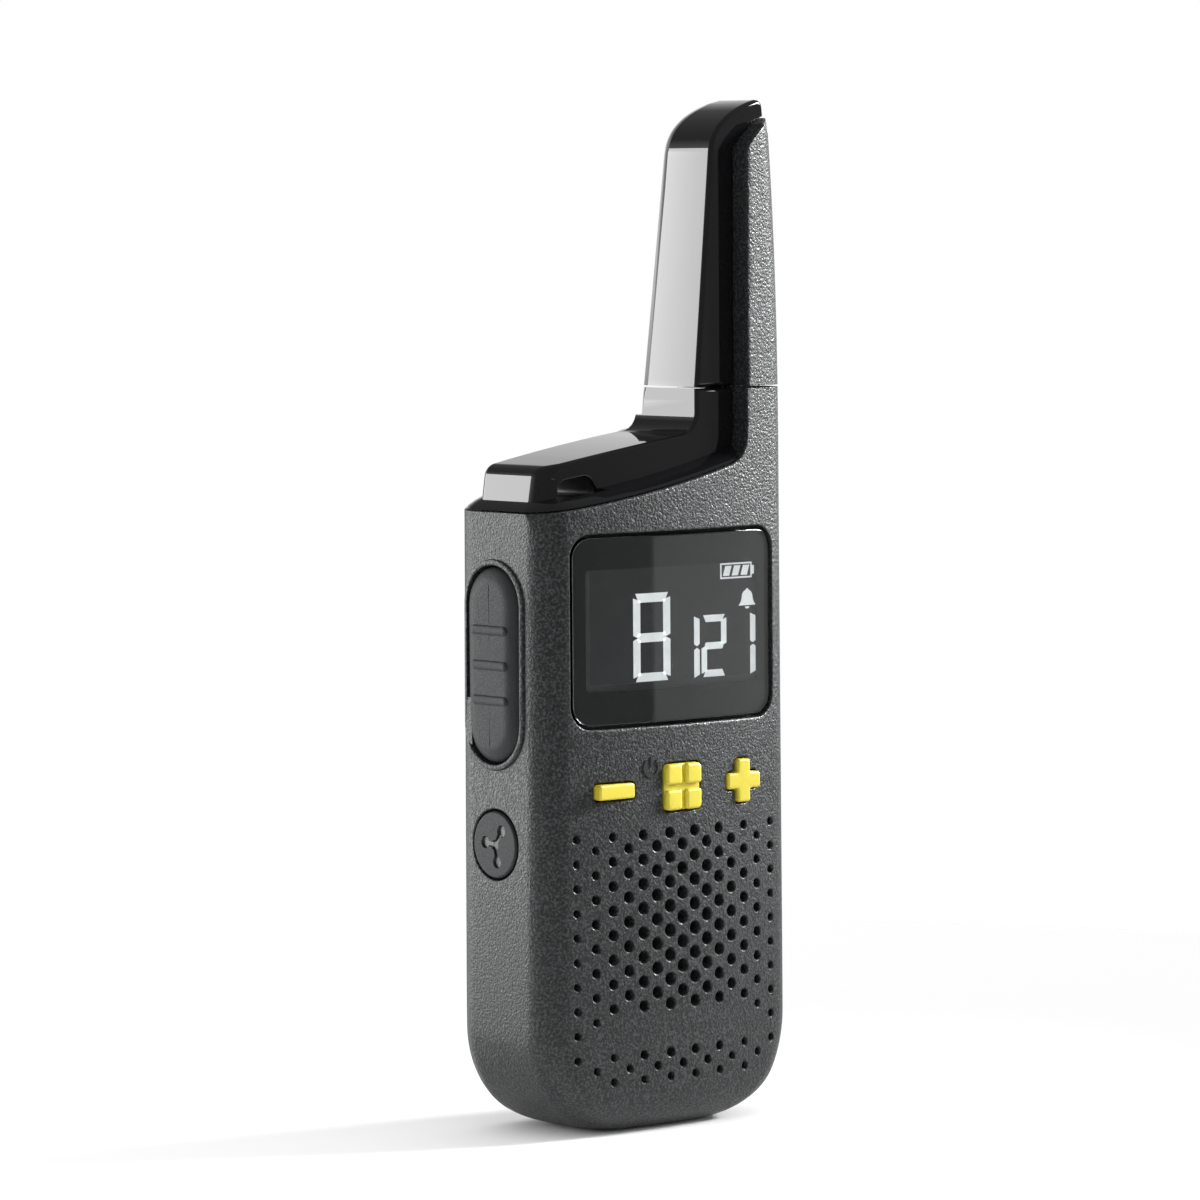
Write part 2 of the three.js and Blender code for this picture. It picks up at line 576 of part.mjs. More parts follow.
// The gloss root of the antenna, with the concave sweep up from the plinth.
function antennaRoot() {
  const z = plinthTop(antennaLeft.seam);
  const sweep = new THREE.Shape();
  const reach = 5.5;
  sweep.moveTo(antennaLeft.seam + 3, z - 3);
  sweep.lineTo(antennaLeft.seam + 3, seamHeight);
  sweep.lineTo(antennaLeft.seam - 0.1, seamHeight);
  sweep.quadraticCurveTo(antennaLeft.seam - 0.8, z + 0.6, antennaLeft.seam - reach, z - 0.9);
  sweep.lineTo(antennaLeft.seam - reach, z - 3);
  const filled = extrudeY(sweep, glossY + 0.5, antennaBackY - 0.4, 3);
  return join(antennaGloss(z - 4, seamHeight, false), filled);
}

// The front view of the antenna's top, common to both halves of the cover.
function tipShape(inset) {
  const shape = new THREE.Shape();
  const top = antennaHeight - inset;
  shape.moveTo(-far, 0);
  shape.lineTo(far, 0);
  shape.lineTo(far, top - 8);
  shape.lineTo(25.4, top - 4.5);
  shape.quadraticCurveTo(25.2, top - 0.6, 21.5, top);
  shape.lineTo(17, top - 0.8);
  shape.quadraticCurveTo(12.6, top - 2, 11, top - 7.5);
  shape.lineTo(-far, top - 8);
  return shape;
}

// The grained half ends below the gloss tip on this line.
function sleeveShape(grow) {
  const shape = new THREE.Shape();
  const start = antennaHeight - 8.4;
  shape.moveTo(boundaryX + grow, seamHeight - 5);
  shape.lineTo(far, seamHeight - 5);
  shape.lineTo(far, start + 5.6 - grow);
  shape.lineTo(24, start + 5.2 - grow);
  shape.quadraticCurveTo(boundaryX + 0.6 + grow, start + 2.6 - grow, boundaryX + grow, start - grow);
  return shape;
}

const aboveSeam = () => box(-far, far, -far, far, seamHeight, antennaHeight + 5);

function antennaSleeve() {
  const outer = common(bodyForm(0), extrudeX(sideShape(0), -far, far), extrudeY(tipShape(0), -far, far));
  return cut(common(outer, extrudeY(sleeveShape(gap), -far, far), aboveSeam()), antennaBore());
}

function antennaTrim() {
  const inside = common(bodyForm(0.4), antennaGloss(seamHeight - 1, antennaHeight, true));
  const outer = common(inside, extrudeY(tipShape(0), -far, far), aboveSeam());
  return cut(outer, extrudeY(sleeveShape(0), -far, far), antennaBore());
}

function antennaInside() {
  const baseTop = core.bottom + 3;
  const foot = box(core.x - 4.4, core.x + 3.2, boardBack + gap, core.y + 2.6, core.bottom, baseTop);
  add("antenna_core", join(foot, rodZ(core.x, core.y, core.radius, baseTop - 0.5, core.top, 12)), blackPlastic);
  const perTurn = 8;
  const steps = coil.turns * perTurn;
  const curve = new THREE.CatmullRomCurve3(
    Array.from({ length: steps + 1 }, (_, i) => {
      const a = (i / perTurn) * 2 * Math.PI;
      const z = coil.bottom + ((coil.top - coil.bottom) * i) / steps;
      return v3(core.x + coil.radius * Math.cos(a), core.y + coil.radius * Math.sin(a), z);
    }),
  );
  const wire = new THREE.Shape(
    Array.from({ length: 4 }, (_, i) => {
      const a = (i / 4) * 2 * Math.PI;
      return new THREE.Vector2(coil.wire * Math.cos(a), coil.wire * Math.sin(a));
    }),
  );
  add("antenna_coil", solid(new THREE.ExtrudeGeometry(wire, { steps, extrudePath: curve })), brass);
  const y0 = boardBack + gap;
  const leaf = join(box(core.x - 1.5, core.x + 1.5, y0, y0 + 0.4, core.bottom - 9, core.bottom - 3),
    box(core.x - 1.5, core.x + 1.5, y0, core.y + 1, core.bottom - 3.4, core.bottom - 3),
    box(core.x - 1.5, core.x + 1.5, core.y, core.y + 1, core.bottom - 3.4, core.bottom - gap));
  add("antenna_contact", leaf, brass);
}

// ---------------------------------------------------------------- display
function displayParts() {
  const { halfWidth: hw, bottom, top, corner } = lens;
  add("display_lens", crownedPlate(lens.recess, lens.recess + lens.thick, hw, bottom, top, corner), lensGlass);
  const gasket = crownedPlate(lensSeat, lensSeat + 0.5, hw, bottom, top, corner);
  const viewing = box(-lcdHalfWidth - lcd.sideMargin, lcdHalfWidth + lcd.sideMargin, -far, far,
    lcd.bottom - lcd.sideMargin, lcd.top + lcd.sideMargin);
  add("lens_gasket", cut(gasket, viewing), rubber);
  add("lcd_panel", box(-lcdHalfWidth, lcdHalfWidth, lcdFront, lcdFront + lcd.thick, lcd.bottom, lcd.top), display);
  add("lcd_holder", box(-lcdHalfWidth, lcdHalfWidth, holderFront, holderBack, lcd.bottom, lcd.top), blackPlastic);
  const strip = box(-16, 16, holderBack + gap, boardFront - gap, lcd.bottom + 1, lcd.bottom + 2.6);
  add("lcd_connector", strip, rubber);
}

// ---------------------------------------------------------------- keys
function keyParts() {
  const membraneBack = boardFront - gap;
  const membraneFront = membraneBack - membraneThick;
  for (const [name, shape] of Object.entries(keyShapes)) {
    const x = keyX[name];
    const face = frontY + crown(x) - keys.proud;
    const flangeFront = frontY + crown(Math.abs(x) + 5) + wall + gap;
    const cap = extrudeY(shape(x, 0), face, flangeFront + 0.1, 1);
    const reachX = (name === "minus" ? minusKey.width : plusKey.size) / 2 + keys.flange;
    const reachZ = (name === "minus" ? minusKey.height : plusKey.size) / 2 + keys.flange;
    const flange = box(x - reachX, x + reachX, flangeFront, flangeFront + keys.flangeThick, keys.z - reachZ, keys.z + reachZ);
    const stem = rodY(x, keys.z, 1.2, flangeFront, membraneFront - keys.travel - 0.1, 10);
    let key = join(cap, flange, stem);
    if (name === "menu") {
      const g = menuKey.groove / 2;
      const s = menuKey.size / 2 + 1;
      const floor = face + menuKey.grooveDepth;
      key = cut(key, box(-s, s, face - 1, floor, keys.z - g, keys.z + g), box(-g, g, face - 1, floor, keys.z - s, keys.z + s));
    }
    add("key_" + name, key, yellow);
  }
  const reach = keySpacing + plusKey.size / 2 + 1;
  const pad = extrudeY(roundRect(-reach, reach, keys.z - 5, keys.z + 5, 2), membraneFront, membraneBack, 1);
  add("keypad_membrane", pad, rubber);
}

// ---------------------------------------------------------------- side buttons and ports
function sideParts() {
  const face = -halfWidth(ptt.z, 0);
  const inner = -sideIn(ptt.z) + gap;
  const flangeBack = inner + sideFlange.thick;
  const cap = join(extrudeX(stadium(ptt.width / 2, 0), face - ptt.proud + 0.5, inner + 0.1, 3),
    extrudeX(stadium(ptt.width / 2 - 0.6, -0.6), face - ptt.proud, face, 3));
  let button = cap.add(extrudeX(stadium(ptt.width / 2 - 1.2, sideFlange.margin), inner, flangeBack, 3));
  for (let i = 0; i < ptt.ribs; i++) {
    const z = ptt.z + (i - (ptt.ribs - 1) / 2) * pttRib.pitch;
    button = button.add(box(face - ptt.proud - pttRib.proud, face - ptt.proud + 0.2,
      ptt.y - pttRib.length / 2, ptt.y + pttRib.length / 2, z - pttRib.width / 2, z + pttRib.width / 2));
  }
  add("ptt_button", button, rubber);
  const plunger = flangeBack + ptt.travel + 0.1;
  add("ptt_switch", box(plunger, plunger + 2.6, boardBack + gap, ptt.y + 1.5, ptt.z - 4, ptt.z + 4), steel);

  const roundFace = -halfWidth(round.z, 0) - round.proud;
  const roundIn = -sideIn(round.z) + gap;
  const disc = rodX(round.y, round.z, round.radius, roundFace, roundIn + 0.1, 20);
  const rim = rodX(round.y, round.z, round.radius + sideFlange.margin, roundIn, roundIn + 0.6, 16);
  add("side_button", disc.add(rim), rubber);
  const dome = roundIn + 0.6 + round.travel + 0.1;
  add("side_switch", box(dome, dome + 0.4, round.y - 3, round.y + 3, round.z - 3, round.z + 3), steel);

  const y0 = port.y - port.width / 2;
  const y1 = port.y + port.width / 2;
  const outerX = halfWidth(port.top, 0);
  const pivotX = outerX - port.thick / 2;
  const flap = box(outerX - port.thick, outerX, y0, y1, port.bottom + port.thick / 2, port.top);
  const knuckle = common(extrudeX(roundRect(y0, y1, port.bottom, port.top, 0.5), 0, far, 2),
    rodY(pivotX, port.bottom + port.thick / 2, port.thick / 2, y0, y1, 12).add(flap));
  add("port_cover", knuckle, rubber);
  const mouth = bodyTopHalfWidth - port.thick - 2 * gap - 0.4;
  const usb = extrudeX(roundRect(port.y - 1.6, port.y + 1.6, port.usbZ - 4.5, port.usbZ + 4.5, 1.5), mouth - 7, mouth, 3);
  const usbRoom = extrudeX(roundRect(port.y - 1.3, port.y + 1.3, port.usbZ - 4.2, port.usbZ + 4.2, 1.2), mouth - 6, mouth + 1, 3);
  const tongue = box(mouth - 6.2, mouth - 1, port.y - 0.35, port.y + 0.35, port.usbZ - 3.3, port.usbZ + 3.3);
  add("usb_socket", cut(usb, usbRoom).add(tongue), steel);
  const jack = rodX(port.y, port.jackZ, 2.3, mouth - 9, mouth, 12);
  add("headset_jack", cut(jack, rodX(port.y, port.jackZ, 1.3, mouth - 8, mouth + 1, 10)), blackPlastic);
}

// ---------------------------------------------------------------- board, speaker, microphone
function boardParts() {
  const w = sideIn(50) - 1.6;
  const neck = highScrew.x - housingScrew.shank - boss - 2;
  const shape = new THREE.Shape();
  const low = bayBottom + 2;
  shape.moveTo(-w + 9, low);
  shape.lineTo(w - 9, low);
  shape.quadraticCurveTo(w, low + 1, w, low + 10);
  shape.lineTo(w, highScrew.z - 6);
  shape.lineTo(neck, highScrew.z - 4);
  shape.lineTo(neck, shoulderHeight - wall - 1.6);
  shape.lineTo(-neck, shoulderHeight - wall - 1.6);
  shape.lineTo(-neck, highScrew.z - 4);
  shape.lineTo(-w, highScrew.z - 6);
  shape.lineTo(-w, low + 10);
  shape.quadraticCurveTo(-w, low + 1, -w + 9, low);
  let board = extrudeY(shape, boardFront, boardBack, 4);
  for (const side of [-1, 1]) {
    board = board.subtract(rodY(side * boardScrew.x, boardScrew.z, boardScrew.shank + gap, boardFront - 1, boardBack + 1, 10));
    const y0 = boardBack + gap;
    const name = side < 0 ? "board_screw_left" : "board_screw_right";
    const head = rodY(side * boardScrew.x, boardScrew.z, boardScrew.head, y0, y0 + boardScrew.headHeight, 12);
    const shank = rodY(side * boardScrew.x, boardScrew.z, boardScrew.shank, y0 - boardScrew.length, y0 + 0.1, 8);
    add(name, head.add(shank), steel);
  }
  add("main_board", board, boardGreen);
  const y0 = boardBack + gap;
  const can = box(-14, 12.4, y0, y0 + 2.8, 73, 97);
  add("rf_shield", cut(can, box(-13.6, 12, y0 - 1, y0 + 2.4, 73.4, 96.6)), steel);

  const R = speaker.radius;
  const f = frontY + crown(R) + wall + 0.85;
  const lathe = (points) =>
    solid(new THREE.LatheGeometry(points.map(([r, y]) => new THREE.Vector2(r, y)), 16).translate(0, 0, speaker.z));
  const hub = speaker.magnet + gap + 0.1;
  const rimFront = [[R - 2, f], [R, f], [R, f + 1.2], [R - 3, f + 2.8], [hub, f + 2.8]];
  add("speaker_frame", lathe([...rimFront, [hub, f + 2.2], [R - 3.4, f + 2.2], [R - 2, f + 0.7], [R - 2, f]]), steel);
  const coneFront = [[0, f + 0.1], [4, f + 0.5], [R - 4, f + 0.1], [R - 2.4, f + 0.4]];
  add("speaker_cone", lathe([...coneFront, [R - 4, f + 0.6], [4, f + 0.9], [0, f + 0.5]]), paper);
  add("speaker_magnet", rodY(0, speaker.z, speaker.magnet, f + 1.3, f + speaker.depth, 20), steel);
  add("speaker_mesh", crownedPlate(wall + gap, wall + gap + 0.25, R + 1, speaker.z - R + 0.5, speaker.z + R, 4), rubber);
  const micFront = frontY + wall + gap;
  add("microphone", rodY(0, mic.z, mic.radius, micFront + gap, micFront + mic.depth, 14), steel);
  const ring = ringShape(roundRect(-mic.radius - gap - mic.boot, mic.radius + gap + mic.boot,
    mic.z - mic.radius - gap - mic.boot, mic.z + mic.radius + gap + mic.boot, 99),
    roundRect(-mic.radius - gap, mic.radius + gap, mic.z - mic.radius - gap, mic.z + mic.radius + gap, 99), 2);
  add("microphone_boot", extrudeY(ring, micFront, micFront + mic.depth + 0.4, 2), rubber);
}

// ---------------------------------------------------------------- battery
function batteryParts() {
  const pitch = cell.radius * 2 + 0.2;
  const names = ["left", "middle", "right"];
  const top = cell.bottom + cell.length;
  names.forEach((name, i) => {
    const x = (i - 1) * pitch;
    const can = rodZ(x, cellY, cell.radius, cell.bottom, top - 1.2, 16);
    const tip = rodZ(x, cellY, 2.6, top - 1.3, top, 12);
    add("battery_cell_" + name, can.add(tip), cellWrap);
    const foot = bayBottom + bayWall + gap;
    const cone = new THREE.CylinderGeometry(2, 4.4, cell.bottom - gap - foot, 12).rotateX(Math.PI / 2);
    const hollow = new THREE.CylinderGeometry(1.4, 3.8, cell.bottom - gap - foot + 0.2, 12).rotateX(Math.PI / 2);
    const middle = (cell.bottom - gap + foot) / 2;
    add("battery_spring_" + name,
      cut(solid(cone.translate(x, cellY, middle)), solid(hollow.translate(x, cellY, middle))), steel);
  });
  const plateZ = top + gap;
  add("battery_plate", box(-pitch * 1.3, pitch * 1.3, cellY - 4, cellY + 4, plateZ, plateZ + 0.5), steel);
  const skin = common(bodyForm(0), box(-door.halfWidth, door.halfWidth, doorFace, backY + 1, 1, door.top));
  const ribs = [20, 30, 40, 50, 60].map((z) => box(-14, 14, doorFace - 0.25, doorFace + 0.2, z - 0.5, z + 0.5));
  const grips = [8, 10.5, 13].map((z) => box(-9, 9, backY - 0.5, backY + 1, z - 0.5, z + 0.5));
  add("battery_door", cut(join(skin, ...ribs), ...grips), grained);
}

// ---------------------------------------------------------------- belt clip
const clipScrewZ = [clip.pivotZ - 12, clip.pivotZ - 6];

function clipParts() {
  const y0 = backY + gap;
  const plateBack = y0 + 1.8;
  const pivotY = backY + clip.stand + clip.thick / 2;
  const w = clip.halfWidth;
  const earIn = w + gap;
  const earOut = earIn + clipPin.ear;
  const ear = new THREE.Shape();
  ear.moveTo(y0, clip.pivotZ - 6);
  ear.lineTo(plateBack, clip.pivotZ - 6);
  ear.lineTo(pivotY + 2.1, clip.pivotZ - 1.6);
  ear.absarc(pivotY, clip.pivotZ, 2.6, -0.6, Math.PI * 0.75);
  ear.lineTo(y0, clip.pivotZ + 4);
  const plate = extrudeY(roundRect(-earOut, earOut, clip.pivotZ - 15, clip.pivotZ + 4, 2), y0, plateBack, 2);
  let bracket = join(plate, extrudeX(ear, -earOut, -earIn, 5), extrudeX(ear, earIn, earOut, 5));
  bracket = cut(bracket, rodX(pivotY, clip.pivotZ, clipPin.radius + gap, -far, far, 12));
  clipScrewZ.forEach((z, i) => {
    bracket = cut(bracket, rodY(0, z, 1.2, y0 - 1, plateBack + 1, 8));
    const head = rodY(0, z, 2, plateBack + gap, plateBack + gap + 0.9, 12);
    const shank = rodY(0, z, 0.85, backY - wall - 2.5, plateBack + gap + 0.1, 8);
    add(i ? "clip_screw_upper" : "clip_screw_lower", head.add(shank), steel);
  });
  add("clip_bracket", bracket, blackPlastic);
  add("clip_pin", rodX(pivotY, clip.pivotZ, clipPin.radius, -earOut - 0.4, earOut + 0.4, 12), steel);
  const outer = rodX(pivotY, clip.pivotZ, 2.1, -3.6, 3.6, 12);
  add("clip_spring", cut(outer, rodX(pivotY, clip.pivotZ, 1.4, -4, 4, 12)), steel);

  const inner = backY + clip.stand;
  const arm = new THREE.Shape();
  arm.moveTo(inner + 0.2, clip.top - 1);
  arm.lineTo(inner, clip.pivotZ);
  arm.lineTo(inner, clip.bottom + 9);
  arm.quadraticCurveTo(inner, clip.bottom + 5, inner - clip.hook, clip.bottom + 3.6);
  arm.quadraticCurveTo(inner - clip.hook - 0.5, clip.bottom + 2, inner - clip.hook + 0.6, clip.bottom + 1);
  arm.quadraticCurveTo(inner + 1.5, clip.bottom, inner + clip.thick + 0.3, clip.bottom + 8);
  arm.lineTo(inner + clip.thick, clip.pivotZ);
  arm.lineTo(inner + clip.thick + 1, clip.top);
  arm.quadraticCurveTo(inner + 1, clip.top + 1.4, inner + 0.2, clip.top - 1);
  const blade = extrudeX(arm, -w, w, 4);
  const knuckle = rodX(pivotY, clip.pivotZ, 2.4, -w, w, 12);
  const springRoom = rodX(pivotY, clip.pivotZ, 2.9, -4.2, 4.2, 12);
  const pinHole = rodX(pivotY, clip.pivotZ, clipPin.radius + gap, -far, far, 12);
  const front = extrudeY(roundRect(-w, w, clip.bottom - 2, clip.top + 3, 3), 0, 40, 2);
  add("clip_arm", cut(common(join(blade, knuckle), front), springRoom, pinHole), blackPlastic);
}

// ---------------------------------------------------------------- seal and housing screws
function closureParts() {
  add("housing_seal", sealRing(0), rubber);
  screwPlaces().forEach(({ x, z, headBack }, i) => {
    const seat = headBack - housingScrew.headHeight + gap;
    const head = rodY(x, z, housingScrew.head, seat, headBack, 12);
    const shank = rodY(x, z, housingScrew.shank, seat - housingScrew.length, seat + 0.1, 8);
    add("housing_screw_" + (i + 1), head.add(shank), steel);
  });
}

add("front_housing", frontHousing(), grained);
add("rear_housing", rearHousing(), grained);
add("shoulder_trim", shoulderTrim(), gloss);
add("antenna_sleeve", antennaSleeve(), grained);
add("antenna_trim", antennaTrim(), gloss);
antennaInside();
displayParts();
keyParts();
sideParts();
boardParts();
batteryParts();
clipParts();
closureParts();

export default radio;
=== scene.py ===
"""A handheld two-way radio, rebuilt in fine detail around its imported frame. Lengths are in
millimetres until a mesh is made: X to the right, Y from the front to the back, Z up."""

import json
import math

import bmesh
import bpy
import numpy as np
from mathutils import Matrix, Vector


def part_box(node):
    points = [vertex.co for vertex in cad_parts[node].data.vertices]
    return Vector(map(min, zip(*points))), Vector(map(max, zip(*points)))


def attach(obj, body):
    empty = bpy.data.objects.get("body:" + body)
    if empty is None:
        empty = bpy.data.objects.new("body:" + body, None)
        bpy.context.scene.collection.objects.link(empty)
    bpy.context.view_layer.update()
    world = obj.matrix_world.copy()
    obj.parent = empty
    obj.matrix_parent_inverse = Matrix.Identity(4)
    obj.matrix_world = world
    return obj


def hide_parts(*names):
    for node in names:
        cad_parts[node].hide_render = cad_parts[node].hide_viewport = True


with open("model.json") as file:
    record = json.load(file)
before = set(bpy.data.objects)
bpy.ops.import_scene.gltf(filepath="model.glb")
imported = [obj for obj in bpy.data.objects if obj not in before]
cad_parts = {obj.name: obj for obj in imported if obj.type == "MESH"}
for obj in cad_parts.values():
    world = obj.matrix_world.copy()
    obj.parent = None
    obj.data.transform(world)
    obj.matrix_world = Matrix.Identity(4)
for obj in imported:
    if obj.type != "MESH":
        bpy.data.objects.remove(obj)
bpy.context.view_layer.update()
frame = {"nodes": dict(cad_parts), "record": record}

MM = 0.001
scene = bpy.context.scene


def mm_box(node):
    low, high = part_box(node)
    return [c / MM for c in low], [c / MM for c in high]


def middle(node):
    low, high = mm_box(node)
    return [(a + b) / 2 for a, b in zip(low, high)]


# ---- places, from the frame
(_, FRONT_Y, _), (HALF_W, PARTING, SEAM) = mm_box("front_housing")
(_, _, _), (_, BACK_Y, _) = mm_box("rear_housing")
(ANTENNA_LEFT, _, _), (_, ANTENNA_BACK, TIP) = mm_box("antenna_trim")
LENS_LO, LENS_HI = mm_box("display_lens")
LCD_LO, LCD_HI = mm_box("lcd_panel")
PTT_LO, PTT_HI = mm_box("ptt_button")
DISC_LO, DISC_HI = mm_box("side_button")
PORT_LO, PORT_HI = mm_box("port_cover")
DOOR_LO, DOOR_HI = mm_box("battery_door")
BRACKET_LO, BRACKET_HI = mm_box("clip_bracket")
_, ARM_HI = mm_box("clip_arm")
_, PIVOT_Y, PIVOT_Z = middle("clip_pin")
_, PTT_Y, PTT_Z = middle("ptt_button")
_, DISC_Y, DISC_Z = middle("side_button")
KEY_Z = middle("keypad_membrane")[2]
KEYS = ("minus", "menu", "plus")

GAP = 0.3  # between neighbouring mouldings
WALL = 2.2
FAR = 60.0  # beyond the radio, for tools that pass through it
THROUGH = [(0, -FAR), (0, FAR)]

CROWN = 119.0  # radius of the slightly rounded front, seen from above
SHOULDER, LEAN_END = 106.0, 170.0  # the sides lean in from the one, by LEAN at the other
BOTTOM_CORNER = 18.0
FRONT_FILLET, BACK_FILLET = 8.0, 5.0
FRONT_CORNER, BACK_CORNER = 6.0, 5.8
TAPER, TAPER_START, LEAN = 0.4, 26.0, 2.5
SHOULDER_LEFT = TAPER - HALF_W

GLOSS_DEPTH = 3.6  # the gloss parts lie this far behind the grained face
BOUNDARY_X = 16.3  # gloss on its left, grained on its right
PLINTH_INSET = 2.5
PLINTH_BACK = BACK_Y - 5.3
ROOT_EXTRA = 1.9  # how much deeper the antenna's root is than its tip
TIP_TURN = 166.5  # height where the antenna's tip starts to round over

PTT_HALF, PTT_LONG = 6.75, 16.6
DISC_R = 5.7
DOOR_INNER = BACK_Y - 1.4
PIN_HOLE = 1.3


# ---- the outer form
def crown(x):
    return CROWN - np.sqrt(CROWN**2 - np.square(x))


def half_width(z, inset=0.0):
    z = np.asarray(z, float)
    low_reach = (BOTTOM_CORNER - inset) ** 2 - (BOTTOM_CORNER - z) ** 2
    low = HALF_W - BOTTOM_CORNER + np.sqrt(np.maximum(low_reach, 0))
    mid = HALF_W - inset - TAPER * np.maximum(z - TAPER_START, 0) / (SHOULDER - TAPER_START)
    rise = np.maximum(z - SHOULDER, 0) / (LEAN_END - SHOULDER)
    high = HALF_W - TAPER - inset - LEAN * rise**2.5
    return np.where(z < BOTTOM_CORNER, low, np.where(z <= SHOULDER, mid, high))


def fillet(z, radius, inset=0.0):
    z = np.asarray(z, float)
    curve = radius - np.sqrt(np.maximum((radius - inset) ** 2 - np.maximum(radius - z, 0) ** 2, 0))
    return np.where(z >= radius, inset, curve)


def corner_values(z, inset=0.0):
    """The outline at height z: half width, front, back, corner radii, and how the front corner turns."""
    w = half_width(z, inset)
    front = FRONT_Y + fillet(z, FRONT_FILLET, inset)
    back = BACK_Y - fillet(z, BACK_FILLET, inset)
    rf = np.minimum(FRONT_CORNER - inset * 0.9, w - 1)
    rb = np.minimum(BACK_CORNER - inset * 0.9, w - 1)
    slope = np.arcsin((w - rf) / CROWN)
    edge = w - rf + rf * np.sin(slope)
    cy = front + crown(edge) + rf * np.cos(slope)
    return w, front, back, rf, rb, slope, edge, cy


def arc(cx, cy, r, start, end, steps):
    return [(cx + r * math.cos(a), cy + r * math.sin(a)) for a in np.linspace(start, end, steps + 1)]


FINE, COARSE = (22, 12, 4, 10, 8), (8, 6, 2, 6, 3)


def body_ring(z, inset=0.0, steps=FINE):
    w, front, back, rf, rb, slope, edge, cy = (float(v) for v in corner_values(z, inset))
    n_front, n_corner, n_side, n_back_corner, n_back = steps
    right = [(edge * i / n_front, front + float(crown(edge * i / n_front))) for i in range(n_front)]
    right += arc(w - rf, cy, rf, slope - math.pi / 2, 0, n_corner)
    right += [(w, cy + (back - rb - cy) * i / n_side) for i in range(1, n_side)]
    right += arc(w - rb, back - rb, rb, 0, math.pi / 2, n_back_corner)
    right += [((w - rb) * (1 - i / n_back), back) for i in range(1, n_back + 1)]
    left = [(-x, y) for x, y in right[1:-1]][::-1]
    return np.array([(x, y, z) for x, y in right + left])


def front_y(x, z):
    """The front surface, crowned and turning back at the corners."""
    x, z = np.asarray(x, float), np.asarray(z, float)
    w, front, _, rf, _, _, edge, cy = corner_values(z)
    over = np.clip(np.abs(x) - (w - rf), 0, rf)
    middle_part = front + crown(np.minimum(np.abs(x), edge))
    return np.where(np.abs(x) <= edge, middle_part, cy - np.sqrt(rf**2 - over**2))


def side_x(y, z):
    """How far out the side surface is."""
    y, z = np.asarray(y, float), np.asarray(z, float)
    w, _, back, rf, rb, _, _, cy = corner_values(z)
    ahead = np.clip(cy - y, 0, rf)
    behind = np.clip(y - (back - rb), 0, rb)
    return w - rf + np.sqrt(rf**2 - ahead**2) - rb + np.sqrt(rb**2 - behind**2)


def gloss_y(x):
    return FRONT_Y + GLOSS_DEPTH + crown(x)


def edge_height(x):
    """Height of the line where the shoulder's gloss flange meets the grained body."""
    x = x + 27.5
    return SHOULDER + 0.11 * x + 0.0018 * x**2


def plinth_top(x):
    x = x + 24
    return SHOULDER + 7.9 + 0.2 * x - 0.0012 * x**2


def antenna_left(z):
    return ANTENNA_LEFT + (11 - ANTENNA_LEFT) * (z - SEAM) / (168 - SEAM)


def antenna_back(z):
    return ANTENNA_BACK + ROOT_EXTRA * (TIP - z) / (TIP - SEAM)


# ---- mesh building
def placed(name, data):
    obj = bpy.data.objects.new(name, data)
    scene.collection.objects.link(obj)
    return obj


def make(verts, faces):
    mesh = bpy.data.meshes.new("form")
    mesh.from_pydata((np.asarray(verts, float) * MM).tolist(), [], faces)
    bm = bmesh.new()
    bm.from_mesh(mesh)
    bmesh.ops.remove_doubles(bm, verts=bm.verts, dist=2e-7)
    bmesh.ops.recalc_face_normals(bm, faces=bm.faces)
    bm.to_mesh(mesh)
    bm.free()
    return placed("form", mesh)


def loft(rings, fan=False):
    """A closed solid through these rings; fan closes its ends with triangles round their middles."""
    n = len(rings[0])
    if any(len(r) != n for r in rings) or not np.isfinite(np.concatenate(rings)).all():
        raise ValueError("the rings of a solid don't match")
    last = (len(rings) - 1) * n
    faces = []
    for a in range(0, last, n):
        b = a + n
        faces += [[a + i, a + (i + 1) % n, b + (i + 1) % n, b + i] for i in range(n)]
    verts = np.concatenate(rings)
    if not fan:
        return make(verts, [list(range(n))[::-1], list(range(last, last + n))] + faces)
    hub = len(verts)
    verts = np.concatenate([verts, [rings[0].mean(0)], [rings[-1].mean(0)]])
    faces += [[(i + 1) % n, i, hub] for i in range(n)]
    faces += [[last + i, last + (i + 1) % n, hub + 1] for i in range(n)]
    return make(verts, faces)


def offset(points, grow):
    """A counter-clockwise outline, moved outwards by grow."""
    points = np.asarray(points, float)

    def unit(v):
        return v / np.linalg.norm(v, axis=1, keepdims=True)

    before = unit(points - np.roll(points, 1, 0))
    after = unit(np.roll(points, -1, 0) - points)
    n1 = np.stack([before[:, 1], -before[:, 0]], 1)
    n2 = np.stack([after[:, 1], -after[:, 0]], 1)
    share = 1 + np.sum(n1 * n2, axis=1, keepdims=True)
    return points + (n1 + n2) / share * np.reshape(grow, (-1, 1))


def rounded(corners, radii, steps=6, spacing=None):
    """A closed outline through these corners, each turned on its own radius."""
    corners = [np.array(c, float) for c in corners]
    radii = [radii] * len(corners) if np.isscalar(radii) else radii
    out = []
    for i, (p, r) in enumerate(zip(corners, radii)):
        to_last, to_next = corners[i - 1] - p, corners[(i + 1) % len(corners)] - p
        to_last, to_next = to_last / np.linalg.norm(to_last), to_next / np.linalg.norm(to_next)
        angle = math.acos(np.clip(to_last @ to_next, -1, 1))
        if r <= 0 or angle > math.pi - 1e-3:
            out.append(p)
            continue
        run = r / math.tan(angle / 2)
        inward = (to_last + to_next) / np.linalg.norm(to_last + to_next)
        hub = p + inward * (r / math.sin(angle / 2))
        a, b = p + to_last * run - hub, p + to_next * run - hub
        turn = math.pi - angle
        for k in range(steps + 1):
            t = k / steps
            out.append(hub + (a * math.sin((1 - t) * turn) + b * math.sin(t * turn)) / math.sin(turn))
    out = np.array(out)
    return respaced(out, spacing) if spacing else out


